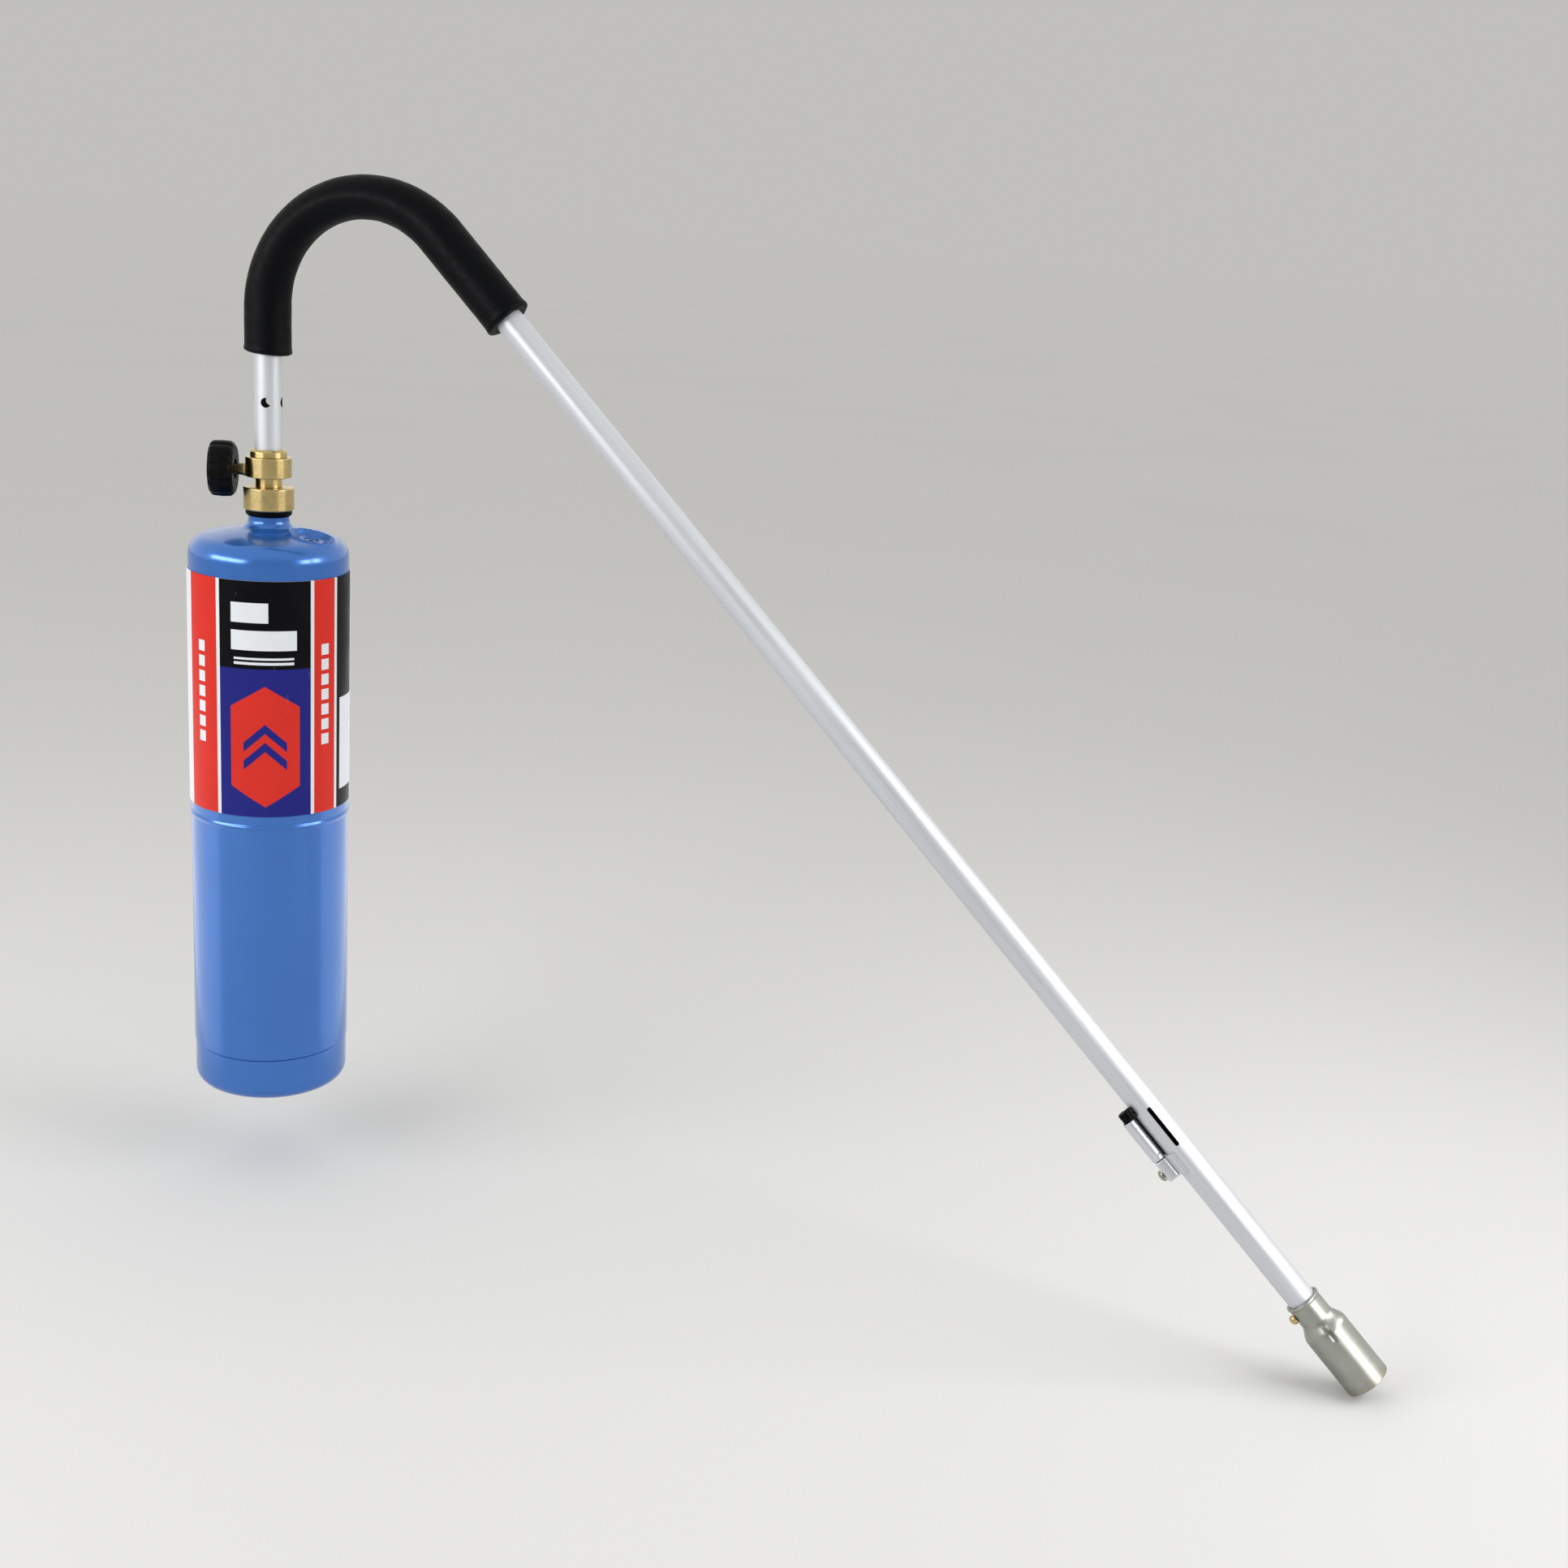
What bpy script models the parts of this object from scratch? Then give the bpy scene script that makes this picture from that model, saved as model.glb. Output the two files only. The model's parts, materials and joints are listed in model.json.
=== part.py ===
"""Propane torch with a hooked burner tube, a foam grip, a push-button igniter and a screw-on gas cylinder.

Metres, +Z up.  The cylinder stands upright on the left, the hooked tube lies in the XZ plane and its lance
runs down to the right, to the burner.  The origin is the middle of the bottom of the object's bounding box.
"""
import bpy
import bmesh
from math import sin, cos, tan, asin, sqrt, pi, radians
from mathutils import Matrix

# ---- driving dimensions --------------------------------------------------------------------------------
GAP = 0.0003              # clearance between neighbouring pieces

SHELL_R = 0.0350          # gas cylinder
SHELL_WALL = 0.0010
LABEL_R = 0.0356
BASE_R = 0.0346
SEAM_Z = 0.0207           # heights on the cylinder are measured from its foot
BEAD_Z = 0.1329
LABEL_LOW = 0.1385
LABEL_HIGH = 0.2445
KNUCKLE_Z = 0.2505
KNUCKLE_R = 0.0090
KNUCKLE_SWEEP = radians(74)
NECK_R = 0.0089
NECK_TOP = 0.2660
STEM_R = 0.0074
RELIEF_REACH = 0.0217     # relief valve's distance from the cylinder's axis
RELIEF_R = 0.0043
FOOT_IN = 0.0230          # inner edge of the flat foot ring
FLANGE_TOP = 0.2680
STEM_TOP = 0.2780
STEM_FLOOR = 0.2590       # lower end of the fitting and its bore
CORE_LOW = 0.2620
CORE_TOP = 0.2745
VALVE_FLOOR = 0.2630
POPPET_LOW = 0.2655
POPPET_TOP = 0.2700

COLLAR_R = 0.0110         # brass inlet and valve
COLLAR_LOW = 0.2705
COLLAR_HIGH = 0.2806
INLET_CEILING = 0.2793
PIN_TOP = 0.2815
SPIGOT_LOW = 0.2796
WAIST_R = 0.00575
BLOCK_R = 0.0100
BLOCK_LOW = 0.2850
BLOCK_HIGH = 0.2938
FERRULE_HIGH = 0.2972
SPINDLE_Z = 0.2877
SPINDLE_TURN = radians(24)     # the knob's axis, turned from -X towards the front
KNOB_R = 0.01225
KNOB_IN = 0.0143               # distances along the knob's axis from the cylinder's axis
KNOB_OUT = 0.0254
KNOB_RECESS = 0.0163
SHAFT_END = 0.0215
SHAFT_R = 0.0010
GLAND_IN = 0.0064
GLAND_OUT = 0.0150
GLAND_BORE = 0.0021
O_RING_AT = 0.00765
JET_R = 0.0025
JET_FLOOR = 0.2902
JET_TOP = 0.2990

TUBE_R = 0.0060           # hooked tube
TUBE_WALL = 0.0009
TUBE_LOW = 0.2922
AIR_HOLE_Z = 0.3177
AIR_HOLE_R = 0.00215
BEND_Z = 0.3587
BEND_R = 0.0483
LANCE_ANGLE = radians(45.4)    # lance, measured from straight down

GRIP_R = 0.0100           # foam grip
GRIP_BORE = 0.00635
GRIP_LOW = 0.3378
GRIP_END = 0.0456         # distances along the lance, from the end of the bend

IGNITER_TOP = 0.4641
IGNITER_LENGTH = 0.0197
IGNITER_R = 0.0030
IGNITER_TURN = radians(-69)    # round the lance, from the front towards its upper side
BUTTON_R = 0.00217
BUTTON_TOP = 0.4596
CASE_BORE = 0.0025
LEAD_AT = 0.4866
LEAD_REACH = 0.0030            # the lead's distance from the lance's axis
BRACKET_SCREW_AT = 0.4903
SLOT_TURN = radians(24)
SLOT_WIDTH = 0.0018
SLOT_LOW = 0.4830              # the slot's end towards the burner
BRACKET_REACH = 0.0119         # the bracket's outer side
BRACKET_LENGTH = 0.0098
CLIP_TURN = radians(-39)
CLIP_AT = 0.4613
RIB_TURN = radians(-49.5)      # the clip's rib, between the case and the tube
RIB_REACH = 0.0067
RIB_R = 0.0004
RIB_END = 0.4835
FRONT_TURN = radians(21)

BURNER_LIP = 0.5650       # burner, along the lance
BURNER_NECK_END = 0.5742
BURNER_FLARE_END = 0.5810
BURNER_MOUTH = 0.6081
BURNER_NECK_R = 0.0071
BURNER_R = 0.00967
BURNER_WALL = 0.0008
SCREW_AT = 0.5697
BURNER_SCREW_TURN = radians(-64)
DIMPLE_AT = 0.5801
HOLDER_LOW = 0.5845
HOLDER_HIGH = 0.5865
INSULATOR_LOW = 0.5670
INSULATOR_HIGH = 0.5960
ELECTRODE_HIGH = 0.5985

# ---- positions worked out from the driving dimensions --------------------------------------------------
CROWN_R = KNUCKLE_R + (SHELL_R - KNUCKLE_R) / cos(KNUCKLE_SWEEP)
CROWN_Z = KNUCKLE_Z - (SHELL_R - KNUCKLE_R) * tan(KNUCKLE_SWEEP)
BEND_END_X = BEND_R * (1 + cos(LANCE_ANGLE))
BEND_END_Z = BEND_Z + BEND_R * sin(LANCE_ANGLE)
MOUTH_X = BEND_END_X + BURNER_MOUTH * sin(LANCE_ANGLE)
MOUTH_Z = BEND_END_Z - BURNER_MOUTH * cos(LANCE_ANGLE)
FOOT_Z = BURNER_R * sin(LANCE_ANGLE) - MOUTH_Z
AXIS_X = -(MOUTH_X + BURNER_R * cos(LANCE_ANGLE) - LABEL_R) / 2

TANK = Matrix.Translation((AXIS_X, 0, FOOT_Z))
SPINDLE = (TANK @ Matrix.Translation((0, 0, SPINDLE_Z))
           @ Matrix.Rotation(SPINDLE_TURN, 4, "Z") @ Matrix.Rotation(-pi / 2, 4, "Y"))
LANCE = (TANK @ Matrix.Translation((BEND_END_X, 0, BEND_END_Z))
         @ Matrix.Rotation(pi - LANCE_ANGLE, 4, "Y"))

ACROSS = Matrix.Rotation(pi / 2, 4, "Y")      # turns a piece's Z axis onto X

PARTS = "propane_torch"
CUTTERS = "cutters"

TANK_STEPS = 32           # sides of the round pieces
BRASS_STEPS = 24
SMALL_STEPS = 12
TUBE_RESOLUTION = 4       # 12 sides round the tube and its grip
BEND_STEPS = 12


def around_lance(turn, reach, along):
    """Frame beside the lance: Z runs down the lance, X points outwards from the lance's axis."""
    return (LANCE @ Matrix.Translation((0, 0, along)) @ Matrix.Rotation(-pi / 2 - turn, 4, "Z")
            @ Matrix.Translation((reach, 0, 0)))


# ---- scene helpers -------------------------------------------------------------------------------------
def clear_scene():
    for thing in list(bpy.data.objects):
        bpy.data.objects.remove(thing, do_unlink=True)
    for name in (PARTS, CUTTERS):
        bpy.context.scene.collection.children.link(bpy.data.collections.new(name))


def material(name, colour, roughness, metallic):
    made = bpy.data.materials.new(name)
    made.use_nodes = True
    shader = made.node_tree.nodes["Principled BSDF"]
    shader.inputs["Base Color"].default_value = (*colour, 1)
    shader.inputs["Roughness"].default_value = roughness
    shader.inputs["Metallic"].default_value = metallic
    return made


def add_object(name, data, matrix, colour, parent=None, group=PARTS):
    thing = bpy.data.objects.new(name, data)
    bpy.data.collections[group].objects.link(thing)
    if parent:
        thing.parent = parent
        thing.matrix_parent_inverse = parent.matrix_world.inverted()
    thing.matrix_world = matrix
    if colour:
        data.materials.append(material(name, *colour))
    else:
        thing.hide_render = True
        thing.display_type = "WIRE"
    return thing


def axis_empty(name, matrix):
    empty = bpy.data.objects.new(name, None)
    bpy.data.collections[PARTS].objects.link(empty)
    empty.matrix_world = matrix
    bpy.context.view_layer.update()
    return empty


def cut(thing, *cutters, operation="DIFFERENCE"):
    for cutter in cutters:
        step = thing.modifiers.new(cutter.name, "BOOLEAN")
        step.operation = operation
        step.solver = "EXACT"
        step.object = cutter


def arc(centre_r, centre_z, radius, start, end, steps):
    """Points of a circular stretch of a turned profile, with angles in degrees from +X."""
    angles = [radians(start + (end - start) * i / steps) for i in range(steps + 1)]
    return [(centre_r + radius * cos(a), centre_z + radius * sin(a)) for a in angles]


def turned(name, profile, matrix, colour, steps=16, closed=False, parent=None, group=PARTS):
    """Solid of revolution about Z.  Its profile runs down the outer side; a closed one is a section."""
    mesh = bpy.data.meshes.new(name)
    count = len(profile)
    edges = [(i, i + 1) for i in range(count - 1)]
    if closed:
        edges.append((count - 1, 0))
    mesh.from_pydata([(r, 0, z) for r, z in profile], edges, [])
    thing = add_object(name, mesh, matrix, colour, parent, group)
    screw = thing.modifiers.new("turn", "SCREW")
    screw.axis = "Z"
    screw.steps = steps
    screw.render_steps = steps
    screw.use_merge_vertices = True
    screw.merge_threshold = 0.00001
    screw.use_smooth_shade = True
    return thing


def ring(name, inner, outer, low, high, matrix, colour, **options):
    profile = [(outer, high), (outer, low), (inner, low), (inner, high)]
    return turned(name, profile, matrix, colour, closed=True, **options)


def rod(name, radius, low, high, matrix, colour, **options):
    return turned(name, [(0, high), (radius, high), (radius, low), (0, low)], matrix, colour, **options)


def cylinder_cutter(name, radius, length, matrix, steps=16):
    return rod(name, radius, -length / 2, length / 2, matrix, None, steps=steps, group=CUTTERS)


def block(name, size, matrix, colour, group=PARTS, parent=None):
    mesh = bpy.data.meshes.new(name)
    shape = bmesh.new()
    bmesh.ops.create_cube(shape, size=1, matrix=Matrix.Diagonal((*size, 1)))
    shape.to_mesh(mesh)
    shape.free()
    return add_object(name, mesh, matrix, colour, parent, group)


def soften(thing, width, segments=2, angle=30):
    bevel = thing.modifiers.new("soften", "BEVEL")
    bevel.width = width
    bevel.segments = segments
    bevel.limit_method = "ANGLE"
    bevel.angle_limit = radians(angle)


def curve_mesh(name, points, radius, matrix, colour, resolution=2, caps=True, parent=None, group=PARTS):
    """Round tube or rod along a line of points, made a mesh so that it can be cut."""
    curve = bpy.data.curves.new(name, "CURVE")
    curve.dimensions = "3D"
    curve.bevel_depth = radius
    curve.bevel_resolution = resolution
    curve.use_fill_caps = caps
    line = curve.splines.new("POLY")
    line.points.add(len(points) - 1)
    for point, place in zip(line.points, points):
        point.co = (*place, 1)
    drawn = bpy.data.objects.new(name, curve)
    bpy.data.collections[group].objects.link(drawn)
    bpy.context.view_layer.update()
    mesh = bpy.data.meshes.new_from_object(drawn.evaluated_get(bpy.context.evaluated_depsgraph_get()))
    shape = bmesh.new()
    shape.from_mesh(mesh)
    bmesh.ops.remove_doubles(shape, verts=shape.verts, dist=0.00001)
    bmesh.ops.recalc_face_normals(shape, faces=shape.faces)
    shape.to_mesh(mesh)
    shape.free()
    mesh.materials.clear()
    bpy.data.objects.remove(drawn, do_unlink=True)
    mesh.shade_smooth()
    if caps:
        mesh.set_sharp_from_angle(angle=radians(40))
    return add_object(name, mesh, matrix, colour, parent, group)


def hollow(thing, wall):
    shell = thing.modifiers.new("wall", "SOLIDIFY")
    shell.thickness = wall
    shell.offset = -1
    shell.use_even_offset = True


def hook_path(low, lance_end):
    """Centre line of the hook: up from a height above the foot, round the bend and down the lance."""
    bend = pi - LANCE_ANGLE
    points = [(0, 0, low)]
    for i in range(BEND_STEPS + 1):
        turn = bend * i / BEND_STEPS
        points.append((BEND_R * (1 - cos(turn)), 0, BEND_Z + BEND_R * sin(turn)))
    points.append((BEND_END_X + lance_end * sin(LANCE_ANGLE), 0, BEND_END_Z - lance_end * cos(LANCE_ANGLE)))
    return points


# ---- colours: base colour, roughness, metallic ---------------------------------------------------------
BLUE_PAINT = ((0.04, 0.13, 0.42), 0.30, 0.1)
RED_PRINT = ((0.70, 0.05, 0.03), 0.35, 0.0)
BRASS = ((0.75, 0.52, 0.20), 0.28, 1.0)
STEEL = ((0.62, 0.63, 0.65), 0.35, 1.0)
SATIN_TUBE = ((0.72, 0.73, 0.76), 0.38, 1.0)
NICKEL = ((0.50, 0.50, 0.46), 0.35, 1.0)
BLACK_PLASTIC = ((0.012, 0.012, 0.014), 0.45, 0.0)
BLACK_FOAM = ((0.010, 0.010, 0.012), 0.90, 0.0)
BLACK_RUBBER = ((0.015, 0.015, 0.015), 0.70, 0.0)
CERAMIC = ((0.85, 0.83, 0.78), 0.50, 0.0)


# ---- gas cylinder --------------------------------------------------------------------------------------
def crown_height(radius, depth=0.0):
    """Height of the domed top at a distance from the axis, at a depth below its outer skin."""
    return CROWN_Z + sqrt((CROWN_R - depth) ** 2 - radius ** 2)


def dome_side(depth):
    """Crown and knuckle of the dome, from the neck outwards and down."""
    crown = [(r, crown_height(r, depth)) for r in (0.0150, 0.0220)]
    return crown + arc(SHELL_R - KNUCKLE_R, KNUCKLE_Z, KNUCKLE_R - depth, 74, 0, 4)


def relief_frame():
    """Frame of the relief valve: on the dome's right, square to the dome."""
    lean = asin(RELIEF_REACH / CROWN_R)
    place = Matrix.Translation((RELIEF_REACH, 0, crown_height(RELIEF_REACH)))
    return TANK @ place @ Matrix.Rotation(lean, 4, "Y")


def cylinder_shell(parent):
    fillet = 0.0016
    neck_bore = 0.0065
    bead_rise = 0.0016
    neck = [(NECK_R, NECK_TOP), (NECK_R, crown_height(NECK_R) + fillet),
            (NECK_R + fillet, crown_height(NECK_R + fillet))]
    bead = [(SHELL_R, BEAD_Z + bead_rise), (LABEL_R, BEAD_Z + bead_rise / 2),
            (LABEL_R, BEAD_Z - bead_rise / 2), (SHELL_R, BEAD_Z - bead_rise)]
    outer = neck + dome_side(0) + bead + [(SHELL_R, SEAM_Z)]
    inner = [(neck_bore, NECK_TOP), (neck_bore, crown_height(neck_bore, SHELL_WALL))]
    inner += dome_side(SHELL_WALL) + [(SHELL_R - SHELL_WALL, SEAM_Z)]
    section = outer + inner[::-1]
    shell = turned("cylinder_shell", section, TANK, BLUE_PAINT, TANK_STEPS, closed=True, parent=parent)
    cut(shell, cylinder_cutter("relief_port", RELIEF_R + GAP, 0.02, relief_frame()))


def cylinder_base(parent):
    """Bottom cap: a spigot inside the shell, a rounded corner, a flat foot ring and a hollow middle."""
    wall = 0.0010
    corner = 0.0060
    spigot = SHELL_R - SHELL_WALL - GAP
    spigot_top = SEAM_Z + 0.0055
    seat = SEAM_Z - GAP
    hollow_side = [(0, 0.0066), (0.0080, 0.0062), (0.0170, 0.0040), (0.0212, 0.0012)]
    inside = [(r, z + wall) for r, z in hollow_side] + [(FOOT_IN + 0.0006, wall)]
    inside += arc(BASE_R - corner, corner, corner - wall, -90, 0, 3)
    inside += [(BASE_R - wall, seat - 0.0010), (spigot - wall, seat + 0.0010), (spigot - wall, spigot_top)]
    outside = [(spigot, spigot_top), (spigot, seat), (BASE_R, seat)]
    outside += arc(BASE_R - corner, corner, corner, 0, -90, 3) + [(FOOT_IN, 0)] + hollow_side[::-1]
    turned("cylinder_base", inside + outside, TANK, BLUE_PAINT, steps=TANK_STEPS, parent=parent)


def label_sleeve(parent):
    bore = SHELL_R + GAP
    ring("label_sleeve", bore, LABEL_R, LABEL_LOW, LABEL_HIGH, TANK, RED_PRINT, steps=TANK_STEPS,
         parent=parent)


def relief_valve(parent):
    """Pressure relief plug through the dome, with a flange that lies on it."""
    flange = 0.0062
    profile = [(0, 0.0010), (0.0024, 0.0010), (0.0028, 0.0018), (flange - 0.0004, 0.0018), (flange, 0.0014),
               (flange, 0.0005), (RELIEF_R, 0.0005), (RELIEF_R, -0.0040), (0, -0.0040)]
    turned("relief_valve", profile, relief_frame(), STEEL, steps=16, parent=parent)


def neck_boss(parent):
    """Fitting in the cylinder's neck: spigot, flange and the stem that screws into the inlet collar."""
    spigot, bore, thread_relief = 0.0062, 0.0032, 0.0004
    profile = [(STEM_R - 0.0006, STEM_TOP), (STEM_R, STEM_TOP - 0.0006), (STEM_R, FLANGE_TOP + 0.0006),
               (STEM_R - thread_relief, FLANGE_TOP), (NECK_R, FLANGE_TOP), (NECK_R, NECK_TOP + GAP),
               (spigot, NECK_TOP + GAP), (spigot, STEM_FLOOR), (bore, STEM_FLOOR), (bore, STEM_TOP)]
    turned("neck_boss", profile, TANK, BRASS, steps=BRASS_STEPS, closed=True, parent=parent)


def neck_seal(parent):
    """Black ring between the cylinder's flange and the collar."""
    bore = STEM_R + GAP
    profile = [(0.0107, COLLAR_LOW - GAP), (0.0098, FLANGE_TOP + GAP), (bore, FLANGE_TOP + GAP),
               (bore, COLLAR_LOW - GAP)]
    turned("neck_seal", profile, TANK, BLACK_RUBBER, steps=BRASS_STEPS, closed=True, parent=parent)


def tank_valve(parent):
    """Spring-loaded valve in the neck: core, poppet and spring.  The inlet pin holds the poppet down."""
    outer, bore, vent = 0.0029, 0.0019, 0.0006
    core = [(outer, CORE_TOP), (outer, CORE_LOW), (vent, CORE_LOW), (vent, VALVE_FLOOR), (bore, VALVE_FLOOR),
            (bore, CORE_TOP)]
    turned("tank_valve_core", core, TANK, BRASS, steps=SMALL_STEPS, closed=True, parent=parent)
    head_low = POPPET_TOP - 0.0012
    poppet = [(0, POPPET_TOP), (0.0015, POPPET_TOP), (0.0015, head_low), (0.0007, head_low - 0.0002),
              (0.0007, POPPET_LOW), (0, POPPET_LOW)]
    turned("tank_valve_poppet", poppet, TANK, STEEL, steps=SMALL_STEPS, parent=parent)
    coil = spring_points(0.00125, VALVE_FLOOR + 0.0006, POPPET_TOP - 0.0020, 4)
    curve_mesh("tank_valve_spring", coil, 0.00025, TANK, STEEL, resolution=1, parent=parent)


def spring_points(radius, low, high, turns, per_turn=7):
    total = turns * per_turn
    angles = [2 * pi * i / per_turn for i in range(total + 1)]
    return [(radius * cos(a), radius * sin(a), low + (high - low) * i / total) for i, a in enumerate(angles)]


# ---- inlet, valve and knob -----------------------------------------------------------------------------
def inlet():
    """Brass collar that takes the cylinder's stem, with the washer and the pin inside it."""
    bore, port = STEM_R + 0.0004, 0.0046
    edge = 0.0006
    profile = [(COLLAR_R - edge, COLLAR_HIGH), (COLLAR_R, COLLAR_HIGH - edge), (COLLAR_R, COLLAR_LOW + edge),
               (COLLAR_R - edge, COLLAR_LOW), (bore, COLLAR_LOW), (bore, INLET_CEILING),
               (port, INLET_CEILING), (port, COLLAR_HIGH)]
    turned("inlet_collar", profile, TANK, BRASS, steps=BRASS_STEPS, closed=True)
    washer_high = INLET_CEILING - GAP
    ring("inlet_washer", 0.0017, 0.0065, STEM_TOP + GAP, washer_high, TANK, BLACK_RUBBER, steps=16)
    ring("inlet_pin", 0.0005, 0.0013, POPPET_TOP + 0.0004, PIN_TOP, TANK, BRASS, steps=SMALL_STEPS)


def valve_body():
    """Brass body: spigot, waist and block, bored for the gas, the jet, the tube and the spindle."""
    spigot, gas_bore, jet_bore, tube_bore = 0.0043, 0.0016, JET_R + GAP, TUBE_R + GAP
    tube_floor = TUBE_LOW - GAP
    waist_low = COLLAR_HIGH + GAP
    edge, low_edge = 0.0005, 0.0003
    profile = [(BLOCK_R - edge, BLOCK_HIGH), (BLOCK_R, BLOCK_HIGH - edge), (BLOCK_R, BLOCK_LOW + low_edge),
               (BLOCK_R - low_edge, BLOCK_LOW), (WAIST_R, BLOCK_LOW), (WAIST_R, waist_low),
               (spigot, waist_low), (spigot, SPIGOT_LOW), (gas_bore, SPIGOT_LOW), (gas_bore, JET_FLOOR),
               (jet_bore, JET_FLOOR), (jet_bore, tube_floor), (tube_bore, tube_floor),
               (tube_bore, BLOCK_HIGH)]
    body = turned("valve_body", profile, TANK, BRASS, steps=BRASS_STEPS, closed=True)
    needle_bore = rod("needle_bore", 0.0014, 0, 0.0060, SPINDLE, None, steps=SMALL_STEPS, group=CUTTERS)
    gland_bore = rod("gland_bore", GLAND_BORE, 0.0042, 0.0120, SPINDLE, None, steps=16, group=CUTTERS)
    cut(body, needle_bore, gland_bore)


def gas_jet():
    low = JET_FLOOR + GAP
    bore, orifice = 0.0009, 0.0003
    profile = [(0.0012, JET_TOP), (JET_R - 0.0003, JET_TOP - 0.0015), (JET_R, JET_TOP - 0.0045),
               (JET_R, low), (bore, low), (bore, JET_TOP - 0.0012), (orifice, JET_TOP - 0.0007),
               (orifice, JET_TOP)]
    turned("gas_jet", profile, TANK, BRASS, steps=SMALL_STEPS, closed=True)


def tube_ferrule():
    profile = [(0.0072, FERRULE_HIGH), (0.0080, FERRULE_HIGH - 0.0008), (0.0080, BLOCK_HIGH + GAP),
               (TUBE_R + GAP, BLOCK_HIGH + GAP), (TUBE_R + GAP, FERRULE_HIGH)]
    turned("tube_ferrule", profile, TANK, BRASS, steps=24, closed=True)


def packing_gland():
    """Coned gland in the block's side that holds the spindle's seal."""
    sleeve, seal_bore, rod_bore = GLAND_BORE - GAP, 0.0015, 0.0013
    root = BLOCK_R + GAP
    seal_end = 0.0092
    profile = [(0.0018, GLAND_OUT), (0.0030, root + 0.0001), (sleeve, root), (sleeve, GLAND_IN),
               (seal_bore, GLAND_IN), (seal_bore, seal_end), (rod_bore, seal_end), (rod_bore, GLAND_OUT)]
    turned("packing_gland", profile, SPINDLE, BRASS, steps=16, closed=True)


def valve_spindle(parent):
    """Needle, thread flange, seal groove and the shaft inside the knob."""
    groove_r, groove_in, groove_out = 0.0004, O_RING_AT - 0.0006, O_RING_AT + 0.0006
    flange_r, flange_in, flange_out = GLAND_BORE - GAP, 0.0046, 0.0054
    needle_root, needle_tip = 0.0030, 0.0012
    profile = [(0, SHAFT_END), (SHAFT_R, SHAFT_END), (SHAFT_R, groove_out), (groove_r, groove_out),
               (groove_r, groove_in), (SHAFT_R, groove_in), (SHAFT_R, flange_out), (flange_r, flange_out),
               (flange_r, flange_in), (SHAFT_R, flange_in), (SHAFT_R, needle_root), (0.00015, needle_tip),
               (0, needle_tip)]
    turned("valve_spindle", profile, SPINDLE, STEEL, steps=SMALL_STEPS, parent=parent)


def spindle_o_ring(parent):
    section = arc(0.00095, O_RING_AT, 0.00025, 90, -210, 5)
    turned("spindle_o_ring", section, SPINDLE, BLACK_RUBBER, steps=SMALL_STEPS, closed=True, parent=parent)


def control_knob(parent):
    """Fluted round knob with a crowned end, a recess round the gland and a blind bore for the spindle."""
    bore = SHAFT_R + GAP
    middle = (KNOB_IN + KNOB_OUT) / 2
    recess_r = 0.0042
    bore_end = SHAFT_END + 0.0005
    profile = [(0, KNOB_OUT), (0.0085, KNOB_OUT - 0.0002), (0.0112, KNOB_OUT - 0.0006),
               (0.0120, KNOB_OUT - 0.0018), (KNOB_R, middle), (0.0120, KNOB_IN + 0.0018),
               (0.0112, KNOB_IN + 0.0006), (0.0100, KNOB_IN), (recess_r, KNOB_IN), (recess_r, KNOB_RECESS),
               (bore, KNOB_RECESS), (bore, bore_end), (0, bore_end)]
    knob = turned("control_knob", profile, SPINDLE, BLACK_PLASTIC, steps=BRASS_STEPS, parent=parent)
    flutes = 8
    groove_r = 0.0030
    groove_reach = KNOB_R + groove_r - 0.0007
    for i in range(flutes):
        turn = Matrix.Rotation(2 * pi * (i + 0.5) / flutes, 4, "Z")
        place = SPINDLE @ turn @ Matrix.Translation((groove_reach, 0, middle))
        cut(knob, cylinder_cutter(f"flute_{i + 1}", groove_r, 0.0200, place, steps=SMALL_STEPS))


# ---- hooked tube and grip ------------------------------------------------------------------------------
def slot_cutters():
    """Long hole with round ends in the front of the lance, beside the igniter."""
    middle = SLOT_LOW - IGNITER_LENGTH / 2
    half = (IGNITER_LENGTH - SLOT_WIDTH) / 2
    depth = 0.0040
    size = (depth, SLOT_WIDTH, 2 * half)
    cutters = [block("slot", size, around_lance(SLOT_TURN, TUBE_R, middle), None, CUTTERS)]
    for name, end in (("slot_top", -half), ("slot_end", half)):
        place = around_lance(SLOT_TURN, TUBE_R, middle + end) @ ACROSS
        cutters.append(cylinder_cutter(name, SLOT_WIDTH / 2, depth, place, steps=SMALL_STEPS))
    return cutters


def main_tube():
    """One tube: riser with four air holes, hook, and the lance with its slot and screw holes."""
    path = hook_path(TUBE_LOW, BURNER_LIP + 0.0070)
    tube = curve_mesh("main_tube", path, TUBE_R, TANK, SATIN_TUBE, resolution=TUBE_RESOLUTION, caps=False)
    hollow(tube, TUBE_WALL)
    for name, turn in (("air_holes_across", -69), ("air_holes_along", 21)):
        place = (TANK @ Matrix.Translation((0, 0, AIR_HOLE_Z)) @ Matrix.Rotation(radians(turn), 4, "Z")
                 @ ACROSS)
        cut(tube, cylinder_cutter(name, AIR_HOLE_R, 0.0200, place, steps=SMALL_STEPS))
    cut(tube, *slot_cutters(), bpy.data.objects["bracket_screw_hole"], bpy.data.objects["lead_hole"],
        bpy.data.objects["burner_screw_hole"])


def foam_grip():
    path = hook_path(GRIP_LOW, GRIP_END)
    grip = curve_mesh("foam_grip", path, GRIP_R, TANK, BLACK_FOAM, resolution=TUBE_RESOLUTION, caps=False)
    hollow(grip, GRIP_R - GRIP_BORE)


# ---- igniter -------------------------------------------------------------------------------------------
def igniter_frame(along=0.0):
    return around_lance(IGNITER_TURN, TUBE_R + GAP + IGNITER_R, IGNITER_TOP + along)


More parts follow.
